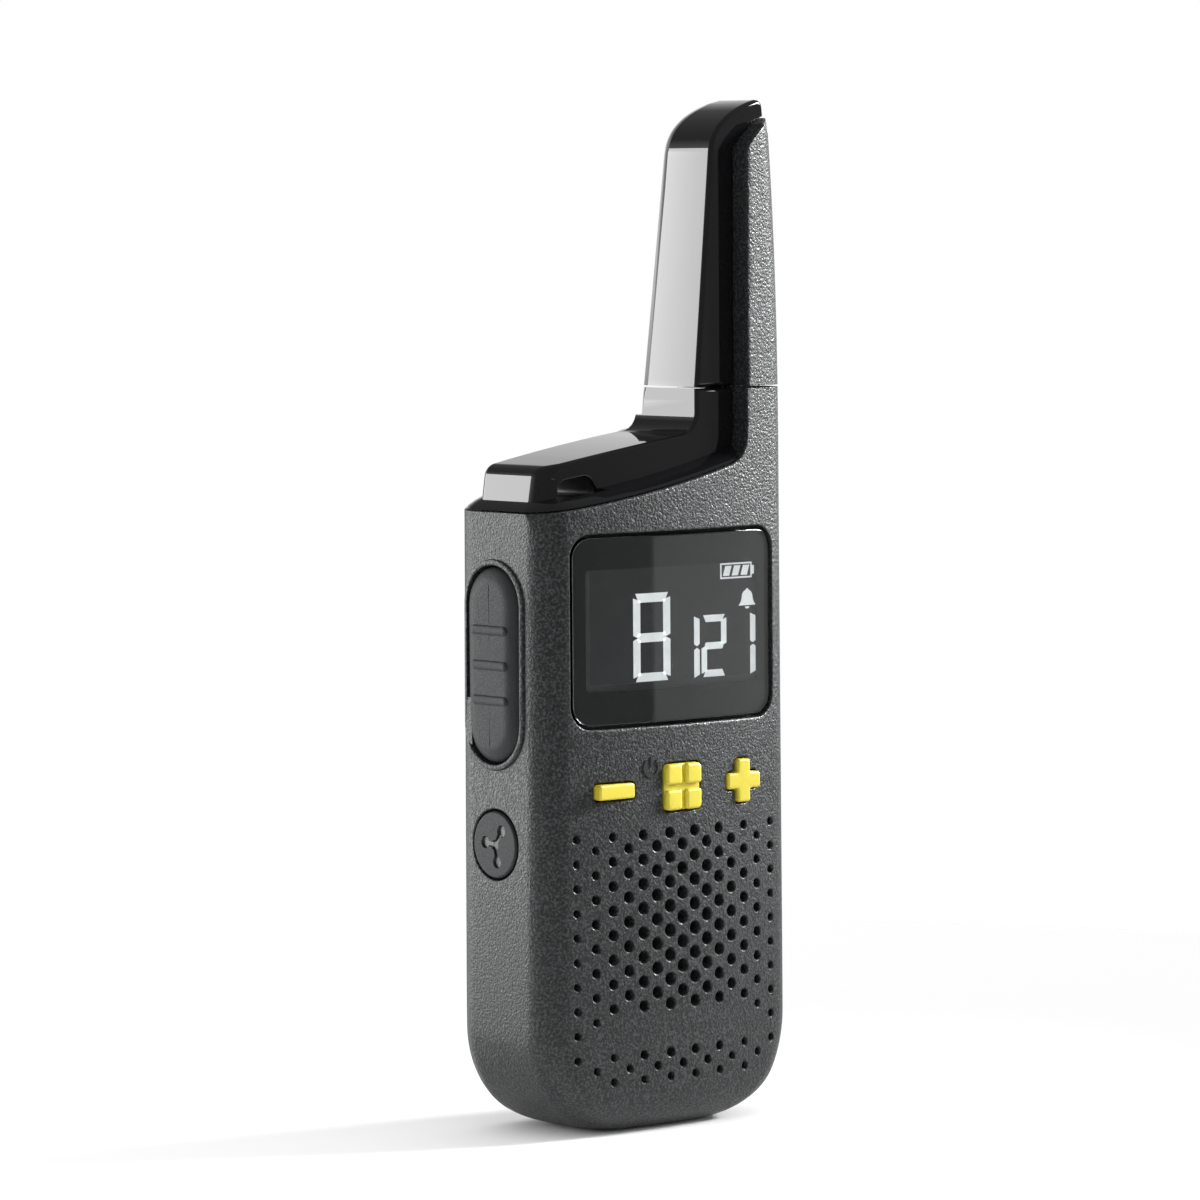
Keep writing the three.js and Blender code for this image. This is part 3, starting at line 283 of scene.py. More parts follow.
def respaced(points, spacing):
    """The outline with its long straight runs cut into steps."""
    out = []
    for p, q in zip(points, np.roll(points, -1, 0)):
        n = max(1, math.ceil(np.linalg.norm(q - p) / spacing))
        out += [p + (q - p) * k / n for k in range(n)]
    return np.array(out)


def rect(u0, u1, v0, v1, r, steps=6, spacing=None):
    return rounded([(u0, v0), (u1, v0), (u1, v1), (u0, v1)], r, steps, spacing)


def centred(u, v, half, high, *shape):
    """A rounded rectangle about its middle."""
    return rect(u - half, u + half, v - high, v + high, *shape)


def circle(u, v, r, n=32):
    return np.array(arc(u, v, r, 0, 2 * math.pi, n)[:-1])


def bent(p0, p1, p2, n=8):
    """Points on the curve that leaves p0 towards p1 and ends at p2."""
    p0, p1, p2 = (np.array(p, float) for p in (p0, p1, p2))
    return [tuple(p0 * (1 - t) ** 2 + p1 * 2 * t * (1 - t) + p2 * t**2) for t in np.linspace(0, 1, n)]


def at_x(points, x):
    return np.stack([np.full(len(points), x), points[:, 0], points[:, 1]], 1)


def at_y(points, y):
    return np.stack([points[:, 0], np.full(len(points), y), points[:, 1]], 1)


def at_z(points, z):
    return np.stack([points[:, 0], points[:, 1], np.full(len(points), z)], 1)


def on_front(points, depth):
    return at_y(points, front_y(*points.T) + depth)


def on_gloss(points, depth):
    return at_y(points, gloss_y(points[:, 0]) + depth)


def on_left(points, depth):
    return at_x(points, depth - side_x(*points.T))


def on_right(points, depth):
    return at_x(points, side_x(*points.T) - depth)


def ahead_of(ring):
    """The same ring, well in front of the radio."""
    ring = ring.copy()
    ring[:, 1] = FRONT_Y - 20
    return ring


def prism(outline, levels, place=on_front, ahead=False, fan=False):
    """An outline carried through levels of (growth, depth); ahead starts it well in front of the face."""
    rings = [place(offset(outline, grow), depth) for grow, depth in levels]
    if ahead:
        rings.insert(0, ahead_of(rings[0]))
    return loft(rings, fan)


def front_to_back(outline):
    return prism(outline, THROUGH, at_y)


def side_to_side(outline):
    return prism(outline, THROUGH, at_x)


def box(x0, x1, y0, y1, z0, z1):
    return prism(rect(x0, x1, y0, y1, 0), [(0, z0), (0, z1)], at_z)


def eased(radius, steps, start):
    """Levels round a convex front edge: (growth, depth) from the face to the wall."""
    angles = [math.radians(90 * i / steps) for i in range(steps + 1)]
    return [(-radius * (1 - math.sin(a)), start + radius * (1 - math.cos(a))) for a in angles]


def flared(radius):
    """Levels of a cutting tool that eases the rim of its hole; it starts in front of the face."""
    return [(radius + 1.6, -0.6)] + [(-grow, depth) for grow, depth in eased(radius, 3, 0)]


def bake(obj):
    graph = bpy.context.evaluated_depsgraph_get()
    mesh = bpy.data.meshes.new_from_object(obj.evaluated_get(graph))
    old = obj.data
    obj.modifiers.clear()
    obj.data = mesh
    bpy.data.meshes.remove(old)


def drop(obj):
    mesh = obj.data
    bpy.data.objects.remove(obj)
    bpy.data.meshes.remove(mesh)


def boolean(obj, operation, *tools):
    for tool in tools:
        modifier = obj.modifiers.new("form", "BOOLEAN")
        modifier.object, modifier.operation, modifier.solver = tool, operation, "MANIFOLD"
        bake(obj)
        drop(tool)
    return obj


def cut(obj, *tools):
    return boolean(obj, "DIFFERENCE", *tools)


def add(obj, *tools):
    return boolean(obj, "UNION", *tools)


def keep(obj, *tools):
    return boolean(obj, "INTERSECT", *tools)


def joined(objects):
    """Separate solids as one mesh."""
    bm = bmesh.new()
    for o in objects:
        bm.from_mesh(o.data)
        drop(o)
    mesh = bpy.data.meshes.new("set")
    bm.to_mesh(mesh)
    bm.free()
    return placed("set", mesh)


def bevelled(obj, width):
    modifier = obj.modifiers.new("edge", "BEVEL")
    modifier.width, modifier.segments = width * MM, 2
    modifier.limit_method, modifier.angle_limit = "ANGLE", math.radians(40)
    bake(obj)


def finish(obj, name, material, body="root", nodes=(), sharp=32, weighted=True):
    """Cleans the mesh, gives it its look and says where it belongs in the frame."""
    bm = bmesh.new()
    bm.from_mesh(obj.data)
    bmesh.ops.remove_doubles(bm, verts=bm.verts, dist=1e-6)
    bmesh.ops.dissolve_degenerate(bm, edges=bm.edges, dist=1e-7)
    bm.to_mesh(obj.data)
    bm.free()
    obj.name = obj.data.name = name
    obj.data.materials.clear()
    obj.data.materials.append(material)
    obj.data.shade_smooth()
    obj.data.set_sharp_from_angle(angle=math.radians(sharp))
    if weighted:
        modifier = obj.modifiers.new("normals", "WEIGHTED_NORMAL")
        modifier.keep_sharp = True
        bake(obj)
    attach(obj, body)
    if nodes:
        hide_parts(*nodes)


def paint_shade(obj, wanted):
    """Gives the dark print material, as painted shade, to the faces that wanted(middle, normal) picks."""
    obj.data.materials.append(PRINT_AND_SHADE)
    for face in obj.data.polygons:
        if wanted(np.array(face.center) / MM, face.normal):
            face.material_index = 1


# ---- materials
def new_material(name, color, roughness, **inputs):
    mat = bpy.data.materials.new(name)
    mat.use_nodes = True
    shader = mat.node_tree.nodes["Principled BSDF"]
    shader.inputs["Base Color"].default_value = (*color, 1)
    shader.inputs["Roughness"].default_value = roughness
    for key, value in inputs.items():
        shader.inputs[key.replace("_", " ")].default_value = value
    return mat, shader


def link(mat, a, b):
    mat.node_tree.links.new(a, b)


def noise(mat, scale, detail=2.0):
    nodes = mat.node_tree.nodes
    coords = nodes.get("coords") or nodes.new("ShaderNodeTexCoord")
    coords.name = "coords"
    tex = nodes.new("ShaderNodeTexNoise")
    tex.inputs["Scale"].default_value = scale
    tex.inputs["Detail"].default_value = detail
    link(mat, coords.outputs["Object"], tex.inputs["Vector"])
    return tex.outputs[0]


def ramp(mat, source, stops):
    node = mat.node_tree.nodes.new("ShaderNodeValToRGB")
    elements = node.color_ramp.elements
    while len(elements) < len(stops):
        elements.new(0.5)
    for element, (place, value) in zip(elements, stops):
        element.position = place
        element.color = (*value, 1) if isinstance(value, tuple) else (value, value, value, 1)
    link(mat, source, node.inputs["Fac"])
    return node.outputs["Color"]


def bump(mat, shader, height, strength, distance, below=None):
    node = mat.node_tree.nodes.new("ShaderNodeBump")
    node.inputs["Strength"].default_value = strength
    node.inputs["Distance"].default_value = distance
    link(mat, height, node.inputs["Height"])
    if below:
        link(mat, below, node.inputs["Normal"])
    link(mat, node.outputs["Normal"], shader.inputs["Normal"])
    return node.outputs["Normal"]


def grained_plastic(name, color, size=2400, depth=0.00012):
    """Spark-eroded plastic: fine pits, with small shiny flats between them."""
    mat, shader = new_material(name, color, 0.42, Specular_IOR_Level=0.35)
    pits = noise(mat, size, 1.0)
    shades = [(0.38, 0.38), (0.5, 0.85), (0.66, 2.1)]
    stops = [(at, tuple(c * by for c in color)) for at, by in shades]
    link(mat, ramp(mat, pits, stops), shader.inputs["Base Color"])
    gleam = ramp(mat, noise(mat, size * 1.3, 1.0), [(0.35, 0.34), (0.7, 0.55)])
    link(mat, gleam, shader.inputs["Roughness"])
    coarse = bump(mat, shader, noise(mat, size * 0.6, 1.0), 0.5, depth)
    bump(mat, shader, pits, 1.0, depth, coarse)
    return mat


def plain_plastic(name, color, roughness, size=2600, depth=0.00002, strength=0.3, **inputs):
    mat, shader = new_material(name, color, roughness, **inputs)
    grain = noise(mat, size, 2.0)
    low, high = max(roughness - 0.06, 0.02), min(roughness + 0.06, 1)
    link(mat, ramp(mat, grain, [(0.35, low), (0.65, high)]), shader.inputs["Roughness"])
    bump(mat, shader, grain, strength, depth)
    return mat


def polished(name, color):
    mat, shader = new_material(name, color, 0.03, IOR=1.52)
    smudge = ramp(mat, noise(mat, 60, 3.0), [(0.4, 0.03), (0.75, 0.055)])
    link(mat, smudge, shader.inputs["Roughness"])
    return mat


def metal(name, color, roughness):
    mat, shader = new_material(name, color, roughness, Metallic=1.0)
    bump(mat, shader, noise(mat, 900, 3.0), 0.15, 0.00003)
    return mat


GRAINED = grained_plastic("grained_plastic", (0.0165, 0.0180, 0.0188))
DOOR_PLASTIC = grained_plastic("door_plastic", (0.018, 0.0195, 0.0203))
GLOSS = polished("gloss_black", (0.0035, 0.0035, 0.004))
YELLOW = plain_plastic("key_yellow", (0.455, 0.38, 0.024), 0.40)
RUBBER = plain_plastic(
    "button_rubber", (0.012, 0.0138, 0.015), 0.58, 3000, 0.00005, 0.7, Specular_IOR_Level=0.3
)
SEAL = plain_plastic("seal_rubber", (0.012, 0.012, 0.013), 0.6)
INNER = plain_plastic("inner_black", (0.010, 0.010, 0.011), 0.55)
CLIP = plain_plastic("clip_black", (0.020, 0.021, 0.022), 0.45, size=2200, depth=0.00006, strength=0.6)
# Dark print for the power sign and the lens mask; also painted shade inside the lanyard hole and the round
# key's sunk sign.
PRINT_AND_SHADE = plain_plastic("print_and_shade_black", (0.008, 0.008, 0.009), 0.4)
BEZEL = plain_plastic("bezel_grey", (0.13, 0.135, 0.138), 0.5)
BOARD = plain_plastic("board_green", (0.01, 0.09, 0.03), 0.35)
BRASS = metal("contact_brass", (0.72, 0.53, 0.25), 0.3)
STEEL = metal("steel_parts", (0.55, 0.56, 0.57), 0.28)
CELL = plain_plastic("cell_wrap", (0.05, 0.17, 0.10), 0.25)


def cloth():
    mat, shader = new_material("speaker_cloth", (0.006, 0.006, 0.006), 0.9)
    waves = mat.node_tree.nodes.new("ShaderNodeTexWave")
    waves.inputs["Scale"].default_value = 900
    coords = mat.node_tree.nodes.new("ShaderNodeTexCoord")
    link(mat, coords.outputs["Object"], waves.inputs["Vector"])
    bump(mat, shader, waves.outputs["Fac"], 0.6, 0.0001)
    return mat


def clear_lens():
    mat, shader = new_material("lens_glass", (0.62, 0.64, 0.64), 0.02, IOR=1.49, Transmission_Weight=1.0)
    link(mat, ramp(mat, noise(mat, 70, 2.0), [(0.4, 0.0), (0.8, 0.02)]), shader.inputs["Roughness"])
    return mat


def painted_glow(name, color, roughness, scale, dark, light, strength):
    """A printed surface whose shade wanders a little; it gives off light as painted light, in place of the
    lamp light that the lens glass in front holds back.
    """
    mat, shader = new_material(name, color, roughness, Emission_Strength=strength)
    shade = ramp(mat, noise(mat, scale, 2.0), [dark, light])
    link(mat, shade, shader.inputs["Base Color"])
    link(mat, shade, shader.inputs["Emission Color"])
    return mat


CLOTH = cloth()
LENS = clear_lens()
# The display face and its segments glow: painted light, standing in for lamp light that the lens glass holds
# back.
LCD = painted_glow(
    "display_glass", (0.030, 0.034, 0.034), 0.35, 45,
    (0.3, (0.020, 0.023, 0.023)), (0.7, (0.034, 0.038, 0.038)), 0.55,
)
SEGMENT = painted_glow(
    "segment_painted_glow", (0.82, 0.84, 0.84), 0.5, 300,
    (0.2, (0.80, 0.82, 0.83)), (0.8, (0.95, 0.96, 0.96)), 1.0,
)

# ---- camera
YAW, PITCH, ROLL = (math.radians(a) for a in (40.05, 3.99, -0.41))
CAMERA_PLACE = Vector((-664.2, -782.8, 161.6)) * MM


def place_camera():
    level = Vector((math.cos(YAW), -math.sin(YAW), 0))
    onward = Vector((math.sin(YAW), math.cos(YAW), 0))
    ahead = onward * math.cos(PITCH) - Vector((0, 0, math.sin(PITCH)))
    upright = onward * math.sin(PITCH) + Vector((0, 0, math.cos(PITCH)))
    right = level * math.cos(ROLL) + upright * math.sin(ROLL)
    up = upright * math.cos(ROLL) - level * math.sin(ROLL)
    camera = bpy.data.cameras.new("camera")
    camera.lens, camera.sensor_width = 180, 36
    camera.clip_start, camera.clip_end = 0.02, 20
    obj = placed("camera", camera)
    turn = Matrix((right, up, -ahead)).transposed().to_4x4()
    obj.matrix_world = Matrix.Translation(CAMERA_PLACE) @ turn
    scene.camera = obj


place_camera()


# ---- regions and the plain body
def grained_region(grow, top):
    """Everything right of and below the gloss parts."""
    curve_x, line_left, outside = 11.6, -27.5, -35.0
    foot, left = edge_height(curve_x) + grow, BOUNDARY_X - grow
    rise = foot + 5.9
    upright = [(left, z) for z in np.linspace(top, rise, 8)[1:-1]]
    sweep = bent((left, rise), (left, foot + 0.9), (curve_x, foot), 12)
    slope = [(x, edge_height(x) + grow) for x in np.linspace(10, line_left, 26)]
    side = [(outside, edge_height(line_left) + grow), (outside, -FAR), (FAR, -FAR), (FAR, top), (left, top)]
    return np.array(upright + sweep + slope + side)


def side_region(inset=0.0):
    """The side view of the back, upright to the shoulder, then stepping in to the antenna."""
    turn = edge_height(BOUNDARY_X) - 0.5 - inset
    ledge = edge_height(BOUNDARY_X) + 6.4 - inset
    back, root, tip = PLINTH_BACK - inset, antenna_back(SEAM) - inset, antenna_back(TIP) - inset
    line = [(-FAR, -FAR), (FAR, -FAR), (FAR, turn)]
    line += bent((BACK_Y - inset, turn), (back + 0.4, turn + 0.8), (back, turn + 2.6))
    line += bent((back - 0.1, ledge - 2.6), (back - 0.4, ledge - 0.2), (back - 2.8, ledge + 0.2))
    line += bent((back - 2.8, ledge + 0.2), (root + 0.2, ledge + 0.6), (root, ledge + 5))[1:]
    return line + [(tip, TIP), (tip, TIP + FAR), (-FAR, TIP + FAR)]


def side_tool(inset=0.0):
    return side_to_side(side_region(inset))


def body_solid(inset, z_top, fine=True):
    turn = np.radians(np.linspace(0, 90, 26 if fine else 9))
    low = [BOTTOM_CORNER - (BOTTOM_CORNER - inset) * math.cos(a) for a in turn]
    high = np.arange(BOTTOM_CORNER + 3, z_top - 1, 3.0 if fine else 12.0)
    steps = FINE if fine else COARSE
    return loft([body_ring(z, inset, steps) for z in [*low, *high, z_top]])


def inner_form():
    """The room inside the two housings."""
    form = body_solid(WALL, SEAM + 4, False)
    return keep(form, front_to_back(grained_region(-WALL, SEAM + 6)), side_tool(WALL))


def crowned_slab(depth0, depth1, half, z0, z1, steps=44):
    """A plate that follows the crowned front, between two depths behind it."""
    xs = np.linspace(-half, half, steps + 1)
    ahead = [(x, FRONT_Y + float(crown(x)) + depth0) for x in xs]
    behind = [(x, FRONT_Y + float(crown(x)) + depth1) for x in xs[::-1]]
    return prism(ahead + behind, [(0, z0), (0, z1)], at_z)


def grown_rect(low, high, grow, *shape):
    """The front view of a box, from its two corners, grown on every side."""
    return rect(low[0] - grow, high[0] + grow, low[2] - grow, high[2] + grow, *shape)


SOFT_EDGE = [(-3.2, -1.0), (-0.4, 0.0), (-0.2, 0.055), (-0.06, 0.2), (0, 0.42)]


# ---- front housing
def grille_holes():
    """Staggered columns of holes that fill a rounded field, smaller towards its edge."""
    pitch, row_pitch, middle_z, middle_row = 2.76, 2.085, 34.5, 8
    tools = []
    for i in range(-7, 8):
        column = abs(i)
        odd = column % 2
        last = {7: 18, 6: 15}.get(column, 14 if odd else 13)
        rows = list(range(0 if odd else 1, last + 1, 2))
        if column == 6 or not odd:
            rows.append(19)
        if odd and column != 7:
            rows += [18, 20]
        x = pitch * i + 0.007 * i**3
        for row in rows:
            z = middle_z - (row - middle_row) * row_pitch
            shrink = 0.95 * (x / 21.7) ** 2 + 0.85 * ((row - middle_row) / 12) ** 2
            radius = (2.25 - min(0.95, shrink)) / 2
            levels = [(0.75, -0.5), (0.22, 0.0), (0.09, 0.09), (0, 0.26), (-0.08, WALL + 1.2)]
            tools.append(prism(circle(x, z, radius, 18), levels))
    return joined(tools)


def key_outline(kind, grow=0.0):
    x = middle("key_" + kind)[0]
    if kind == "minus":
        return centred(x, KEY_Z, 3.9 + grow, 1.3 + grow, 0.5 + grow, 5)
    if kind == "menu":
        return centred(x, KEY_Z, 3.95 + grow, 3.95 + grow, 0.8 + grow, 6, 2)
    reach, arm = 3.7 + grow, 1.4 + grow
    quarter = [(arm, -reach), (arm, -arm), (reach, -arm)]
    shape = []
    for _ in range(4):
        shape += quarter
        quarter = [(-v, u) for u, v in quarter]
    return rounded([(x + u, KEY_Z + v) for u, v in shape], [0.5 + grow, 0.35, 0.5 + grow] * 4, 5)


def stadium(grow, spacing=2.0):
    """The push-to-talk key's outline, from the side."""
    half = PTT_HALF + grow
    return centred(PTT_Y, PTT_Z, half, PTT_LONG + grow, half - 0.01, 14, spacing)


def window_frame(shell):
    """A thicker frame for the lens, with its recess and the display's window."""
    reach = LENS_HI[0] + 1.8
    band = crowned_slab(WALL - 0.5, 3.2, reach + 1, LENS_LO[2] - 3, LENS_HI[2] + 3)
    outline = rect(-reach, reach, LENS_LO[2] - 1.8, LENS_HI[2] + 1.3, 4.5)
    add(shell, keep(band, front_to_back(outline)))
    recess = grown_rect(LENS_LO, LENS_HI, 0.6, 4.0, 8, 1.5)
    cut(shell, prism(recess, flared(0.3) + [(0, 2.15)], ahead=True))
    cut(shell, prism(grown_rect(LCD_LO, LCD_HI, 0.4, 1), [(0, -FAR), (0, 12)], at_y))


def side_openings(shell):
    """The side buttons' openings on the left, and the pocket of the sockets on the right."""
    lead = [(1.9, -1.1), (0.3, -0.5), (0.09, -0.41), (0, -0.2), (0, 6)]
    cut(shell, prism(stadium(0.3), lead, on_left))
    disc = circle(DISC_Y, DISC_Z, DISC_R + 0.35, 56)
    cut(shell, prism(disc, flared(0.3) + [(0, 6)], on_left))
    pocket = rect(PORT_LO[1] - GAP, PORT_HI[1] + GAP, PORT_LO[2] - GAP, PORT_HI[2] + GAP, 0.8)
    cut(shell, prism(pocket, flared(0.25) + [(0, 1.6)], on_right))
    port_y = middle("port_cover")[1]
    for outline in (centred(port_y, 90.5, 1.9, 4.8, 1.6), circle(port_y, 80.5, 2.6)):
        cut(shell, prism(outline, [(0, 20), (0, FAR)], at_x))


def front_shell():
    shell = body_solid(0, SEAM)
    region = prism(grained_region(0, SEAM + 5), SOFT_EDGE + [(0, 40)], ahead=True)
    keep(shell, region, side_tool())
    collar = [(0, 2.5), (0, -0.15), (-0.12, -0.38), (-0.4, -0.5), (-1.5, -0.52)]
    add(shell, prism(stadium(1.35), collar, on_left))
    keep(shell, box(-FAR, FAR, -FAR, PARTING, -1, SEAM - GAP - 0.1))
    cut(shell, inner_form())
    window_frame(shell)
    for kind in KEYS:
        cut(shell, prism(key_outline(kind, 0.28), flared(0.28) + [(0, 7)]))
    side_openings(shell)
    cut(shell, grille_holes())
    finish(shell, "front_shell", GRAINED, nodes=["front_housing"])


# ---- rear housing and door
def battery_bay(shell):
    """The walled room for the cells, open at the back."""
    low, high = mm_box("battery_cell_left")[0], mm_box("battery_cell_right")[1]
    out, wall = 1.5, 1.2
    x0, x1, y0 = low[0] - out, high[0] + out, low[1] - out
    z0, z1 = low[2] - 2.8 - wall, high[2] + 2.7
    add(shell, box(x0, x1, y0, BACK_Y - WALL + 0.1, z0, z1))
    cut(shell, box(x0 + wall, x1 - wall, y0 + wall, FAR, z0 + wall, z1 - wall))


def screw_seat(shell, node):
    """A post inside the back, with a recess for the screw's head and a hole for its shank."""
    (low_x, _, _), (high_x, head, _) = mm_box(node)
    x, _, z = middle(node)
    r = (high_x - low_x) / 2 + GAP
    add(shell, prism(circle(x, z, r + 1), [(0, head - 2.8), (0, BACK_Y - WALL + 0.3)], at_y))
    levels = [(0, head - 1.42), (0, BACK_Y - 0.3), (0.3, BACK_Y), (0.8, BACK_Y + 0.5)]
    cut(shell, prism(circle(x, z, r), levels, at_y))
    cut(shell, front_to_back(circle(x, z, 1.25, 16)))


def rear_shell():
    shell = body_solid(0, SEAM)
    keep(shell, front_to_back(grained_region(0, SEAM + 5)), side_tool())
    keep(shell, box(-FAR, FAR, PARTING + GAP, FAR, -1, SEAM))
    cut(shell, inner_form())
    battery_bay(shell)
    slot = rect(DOOR_LO[0] - GAP, DOOR_HI[0] + GAP, -5, DOOR_HI[2] + GAP, 1.2)
    levels = [(0, DOOR_INNER - GAP), (0, BACK_Y - 0.25), (0.25, BACK_Y), (1.0, BACK_Y + 0.75)]
    cut(shell, prism(slot, levels, at_y))
    for node in ("housing_screw_3", "housing_screw_4"):
        screw_seat(shell, node)
    finish(shell, "rear_shell", GRAINED, nodes=["rear_housing"])


def battery_door():
    door = body_solid(0, 80)
    outline = rect(DOOR_LO[0], DOOR_HI[0], DOOR_LO[2] - 0.3, DOOR_HI[2], [0.5, 0.5, 1.0, 1.0])
    levels = [(0, DOOR_INNER), (0, BACK_Y - 0.25), (-0.25, BACK_Y), (-0.8, BACK_Y + 0.55)]
    keep(door, prism(outline, levels, at_y))
    levels = [(-0.25, BACK_Y - 0.45), (0.3, BACK_Y + 0.4)]
    grooves = []
    for i in range(7):
        half, z = 9 - i * 0.75, 52.5 + i * 1.9
        grooves.append(prism(rect(-half, half, z, z + 0.85, 0.4), levels, at_y))
    cut(door, joined(grooves))
    finish(door, "door_panel", DOOR_PLASTIC, "battery_door", ["battery_door"])


# ---- belt clip
def at_pivot(radius):
    return circle(PIVOT_Y, PIVOT_Z, radius)


def clip_mount():
    foot, plate = BRACKET_LO[1], BRACKET_LO[1] + 1.8
    outer, inner = BRACKET_HI[0], ARM_HI[0] + GAP
    levels = [(0, foot), (0, plate - 0.5), (-0.15, plate - 0.15), (-0.5, plate)]
    bracket = prism(rect(-outer, outer, BRACKET_LO[2], BRACKET_HI[2], 2, 8), levels, at_y)
    ear = [(foot, PIVOT_Z - 6), (plate, PIVOT_Z - 6), (PIVOT_Y + 2.1, PIVOT_Z - 1.6)]
    ear += arc(PIVOT_Y, PIVOT_Z, 2.6, -0.6, math.pi * 0.75, 15)
    ear.append((foot, PIVOT_Z + 4))
    for x0, x1 in ((-outer, -inner), (inner, outer)):
        levels = [(-0.35, x0), (-0.1, x0 + 0.1), (0, x0 + 0.35)]
        levels += [(0, x1 - 0.35), (-0.1, x1 - 0.1), (-0.35, x1)]
        add(bracket, prism(ear, levels, at_x))
    cut(bracket, side_to_side(at_pivot(PIN_HOLE)))
    for node in ("clip_screw_lower", "clip_screw_upper"):
        cut(bracket, front_to_back(circle(0, middle(node)[2], 1.2, 20)))
    finish(bracket, "clip_mount", CLIP, nodes=["clip_bracket"])


def clip_blade():
    """The springy arm, drawn from the side: straight, then hooked in and out at its foot."""
    half, bottom, top = ARM_HI[0], 44, 99
    inner, outer, hook = BACK_Y + 4.8, BACK_Y + 7.0, BACK_Y + 1.2
    arm = [(inner + 0.2, top - 1), (inner, PIVOT_Z)]
    arm += bent((inner, bottom + 9), (inner, bottom + 5), (hook, bottom + 3.6), 9)
    arm += bent((hook, bottom + 3.6), (hook - 0.5, bottom + 2), (hook + 0.6, bottom + 1), 9)[1:]
    arm += bent((hook + 0.6, bottom + 1), (inner + 1.5, bottom), (outer + 0.3, bottom + 8), 9)[1:]
    arm += [(outer, PIVOT_Z), (outer + 1, top)]
    arm += bent((outer + 1, top), (inner + 1, top + 1.4), (inner + 0.2, top - 1), 9)[1:-1]
    blade = prism(arm, [(0, -half), (0, half)], at_x)
    add(blade, prism(at_pivot(2.4), [(0, -half), (0, half)], at_x))
    keep(blade, prism(rect(-half, half, bottom - 2, top + 0.9, 3, 10), [(0, 0), (0, 40)], at_y))
    cut(blade, prism(at_pivot(2.9), [(0, -4.2), (0, 4.2)], at_x))
    cut(blade, side_to_side(at_pivot(PIN_HOLE)))
    grooves = [box(-4.2, 4.2, outer - 0.05, outer + 4, z, z + 0.9) for z in (56, 58.2, 60.4, 62.6)]
    cut(blade, joined(grooves))
    bevelled(blade, 0.35)
    finish(blade, "clip_blade", CLIP, "clip_arm", ["clip_arm"])


# ---- shoulder and antenna
def gloss_block(path, soft, steps, lead, back, back_soft, low, high):
    """A gloss moulding with this outline, eased by soft in front and by back_soft at back(z)."""
    levels = [(-soft - lead, -1.0)] + eased(soft, steps[0], 0)
    rings = [on_gloss(offset(path, grow), depth) for grow, depth in levels]
    rings.insert(0, ahead_of(rings[0]))
    for grow, depth in eased(back_soft, steps[1], 0)[::-1]:
        ring = at_y(offset(path, grow), 0.0)
        ring[:, 1] = back(ring[:, 2]) - depth
        rings.append(ring)
    return keep(loft(rings), crowned_slab(GLOSS_DEPTH + 0.02, 40, 40, low, high, 90))


def plinth_path(left):
    """The plinth's outline from the front, rising to the antenna's root."""
    root = ANTENNA_LEFT
    slope = [(x, plinth_top(x)) for x in np.linspace(left + 7, 0, 18)]
    corners = [(left - 2.6, 95), (left + 0.1, plinth_top(left + 0.1)), *slope]
    corners += [(root, plinth_top(root)), (root, SEAM - GAP), (FAR, SEAM - GAP), (FAR, 95)]
    radii = [0, 2.5] + [0] * len(slope) + [3.8, 0, 0, 0]
    return respaced(rounded(corners, radii, 12)[::-1], 2.0)


def behind_root(left):
    """A tool that cuts the root back to the antenna's own depth, above the plinth."""
    right = BOUNDARY_X + 2
    outline = [(x, plinth_top(x)) for x in np.linspace(left, right, 16)]
    outline += [(right, SEAM + 8), (left, SEAM + 8)]
    y = antenna_back(SEAM)
    levels = [(-0.8, y), (-0.35, y + 0.1), (-0.1, y + 0.35), (0, y + 0.8), (0, FAR)]
    return prism(outline, levels, at_y)


def shoulder():
    left = SHOULDER_LEFT + PLINTH_INSET
    path = plinth_path(left)
    soft = np.interp(path[:, 0], [left, left + 3.2], [3.2, 0.8])
    block = gloss_block(path, soft, (8, 6), 2.2, lambda z: PLINTH_BACK, 1.6, 90, SEAM + 5)
    keep(block, side_tool())
    flange = [(0.2, -6), (0.25, 0.3), (0.6, 0.8), (1.4, 1.5)]
    flange += [(PLINTH_INSET + 0.35, 2.4), (PLINTH_INSET + 0.8, 3.4)]
    add(block, loft([skirt_ring(draw, height) for draw, height in flange]))
    keep(block, box(-FAR, BOUNDARY_X - GAP, -FAR, FAR, 90, SEAM - GAP))
    cut(block, front_to_back(grained_region(GAP, SEAM + 20)))
    hole = lanyard_outline()
    lead = [(1.5, -1.0), (0.5, 0.0), (0.22, 0.12), (0.06, 0.36), (0, 0.75), (0, 30)]
    cut(block, prism(hole, lead, on_gloss))
    cut(block, loft([antenna_facet(z) for z in (SHOULDER + 15.5, SEAM + 1)]))
    cut(block, behind_root(left + 6))
    finish(block, "shoulder_gloss", GLOSS, nodes=["shoulder_trim"], sharp=28)
    # The hole's inner walls are painted dark: painted shade for the dark inside of the hole.
    low, high = hole.min(0) - 0.05, hole.max(0) + 0.05

    def shaded_in_hole(at, normal):
        x, y, z = at
        inside = low[0] < x < high[0] and low[1] < z < high[1]
        return inside and gloss_y(x) + 0.8 < y < PLINTH_BACK - 0.4 and abs(normal.y) < 0.5

    paint_shade(block, shaded_in_hole)


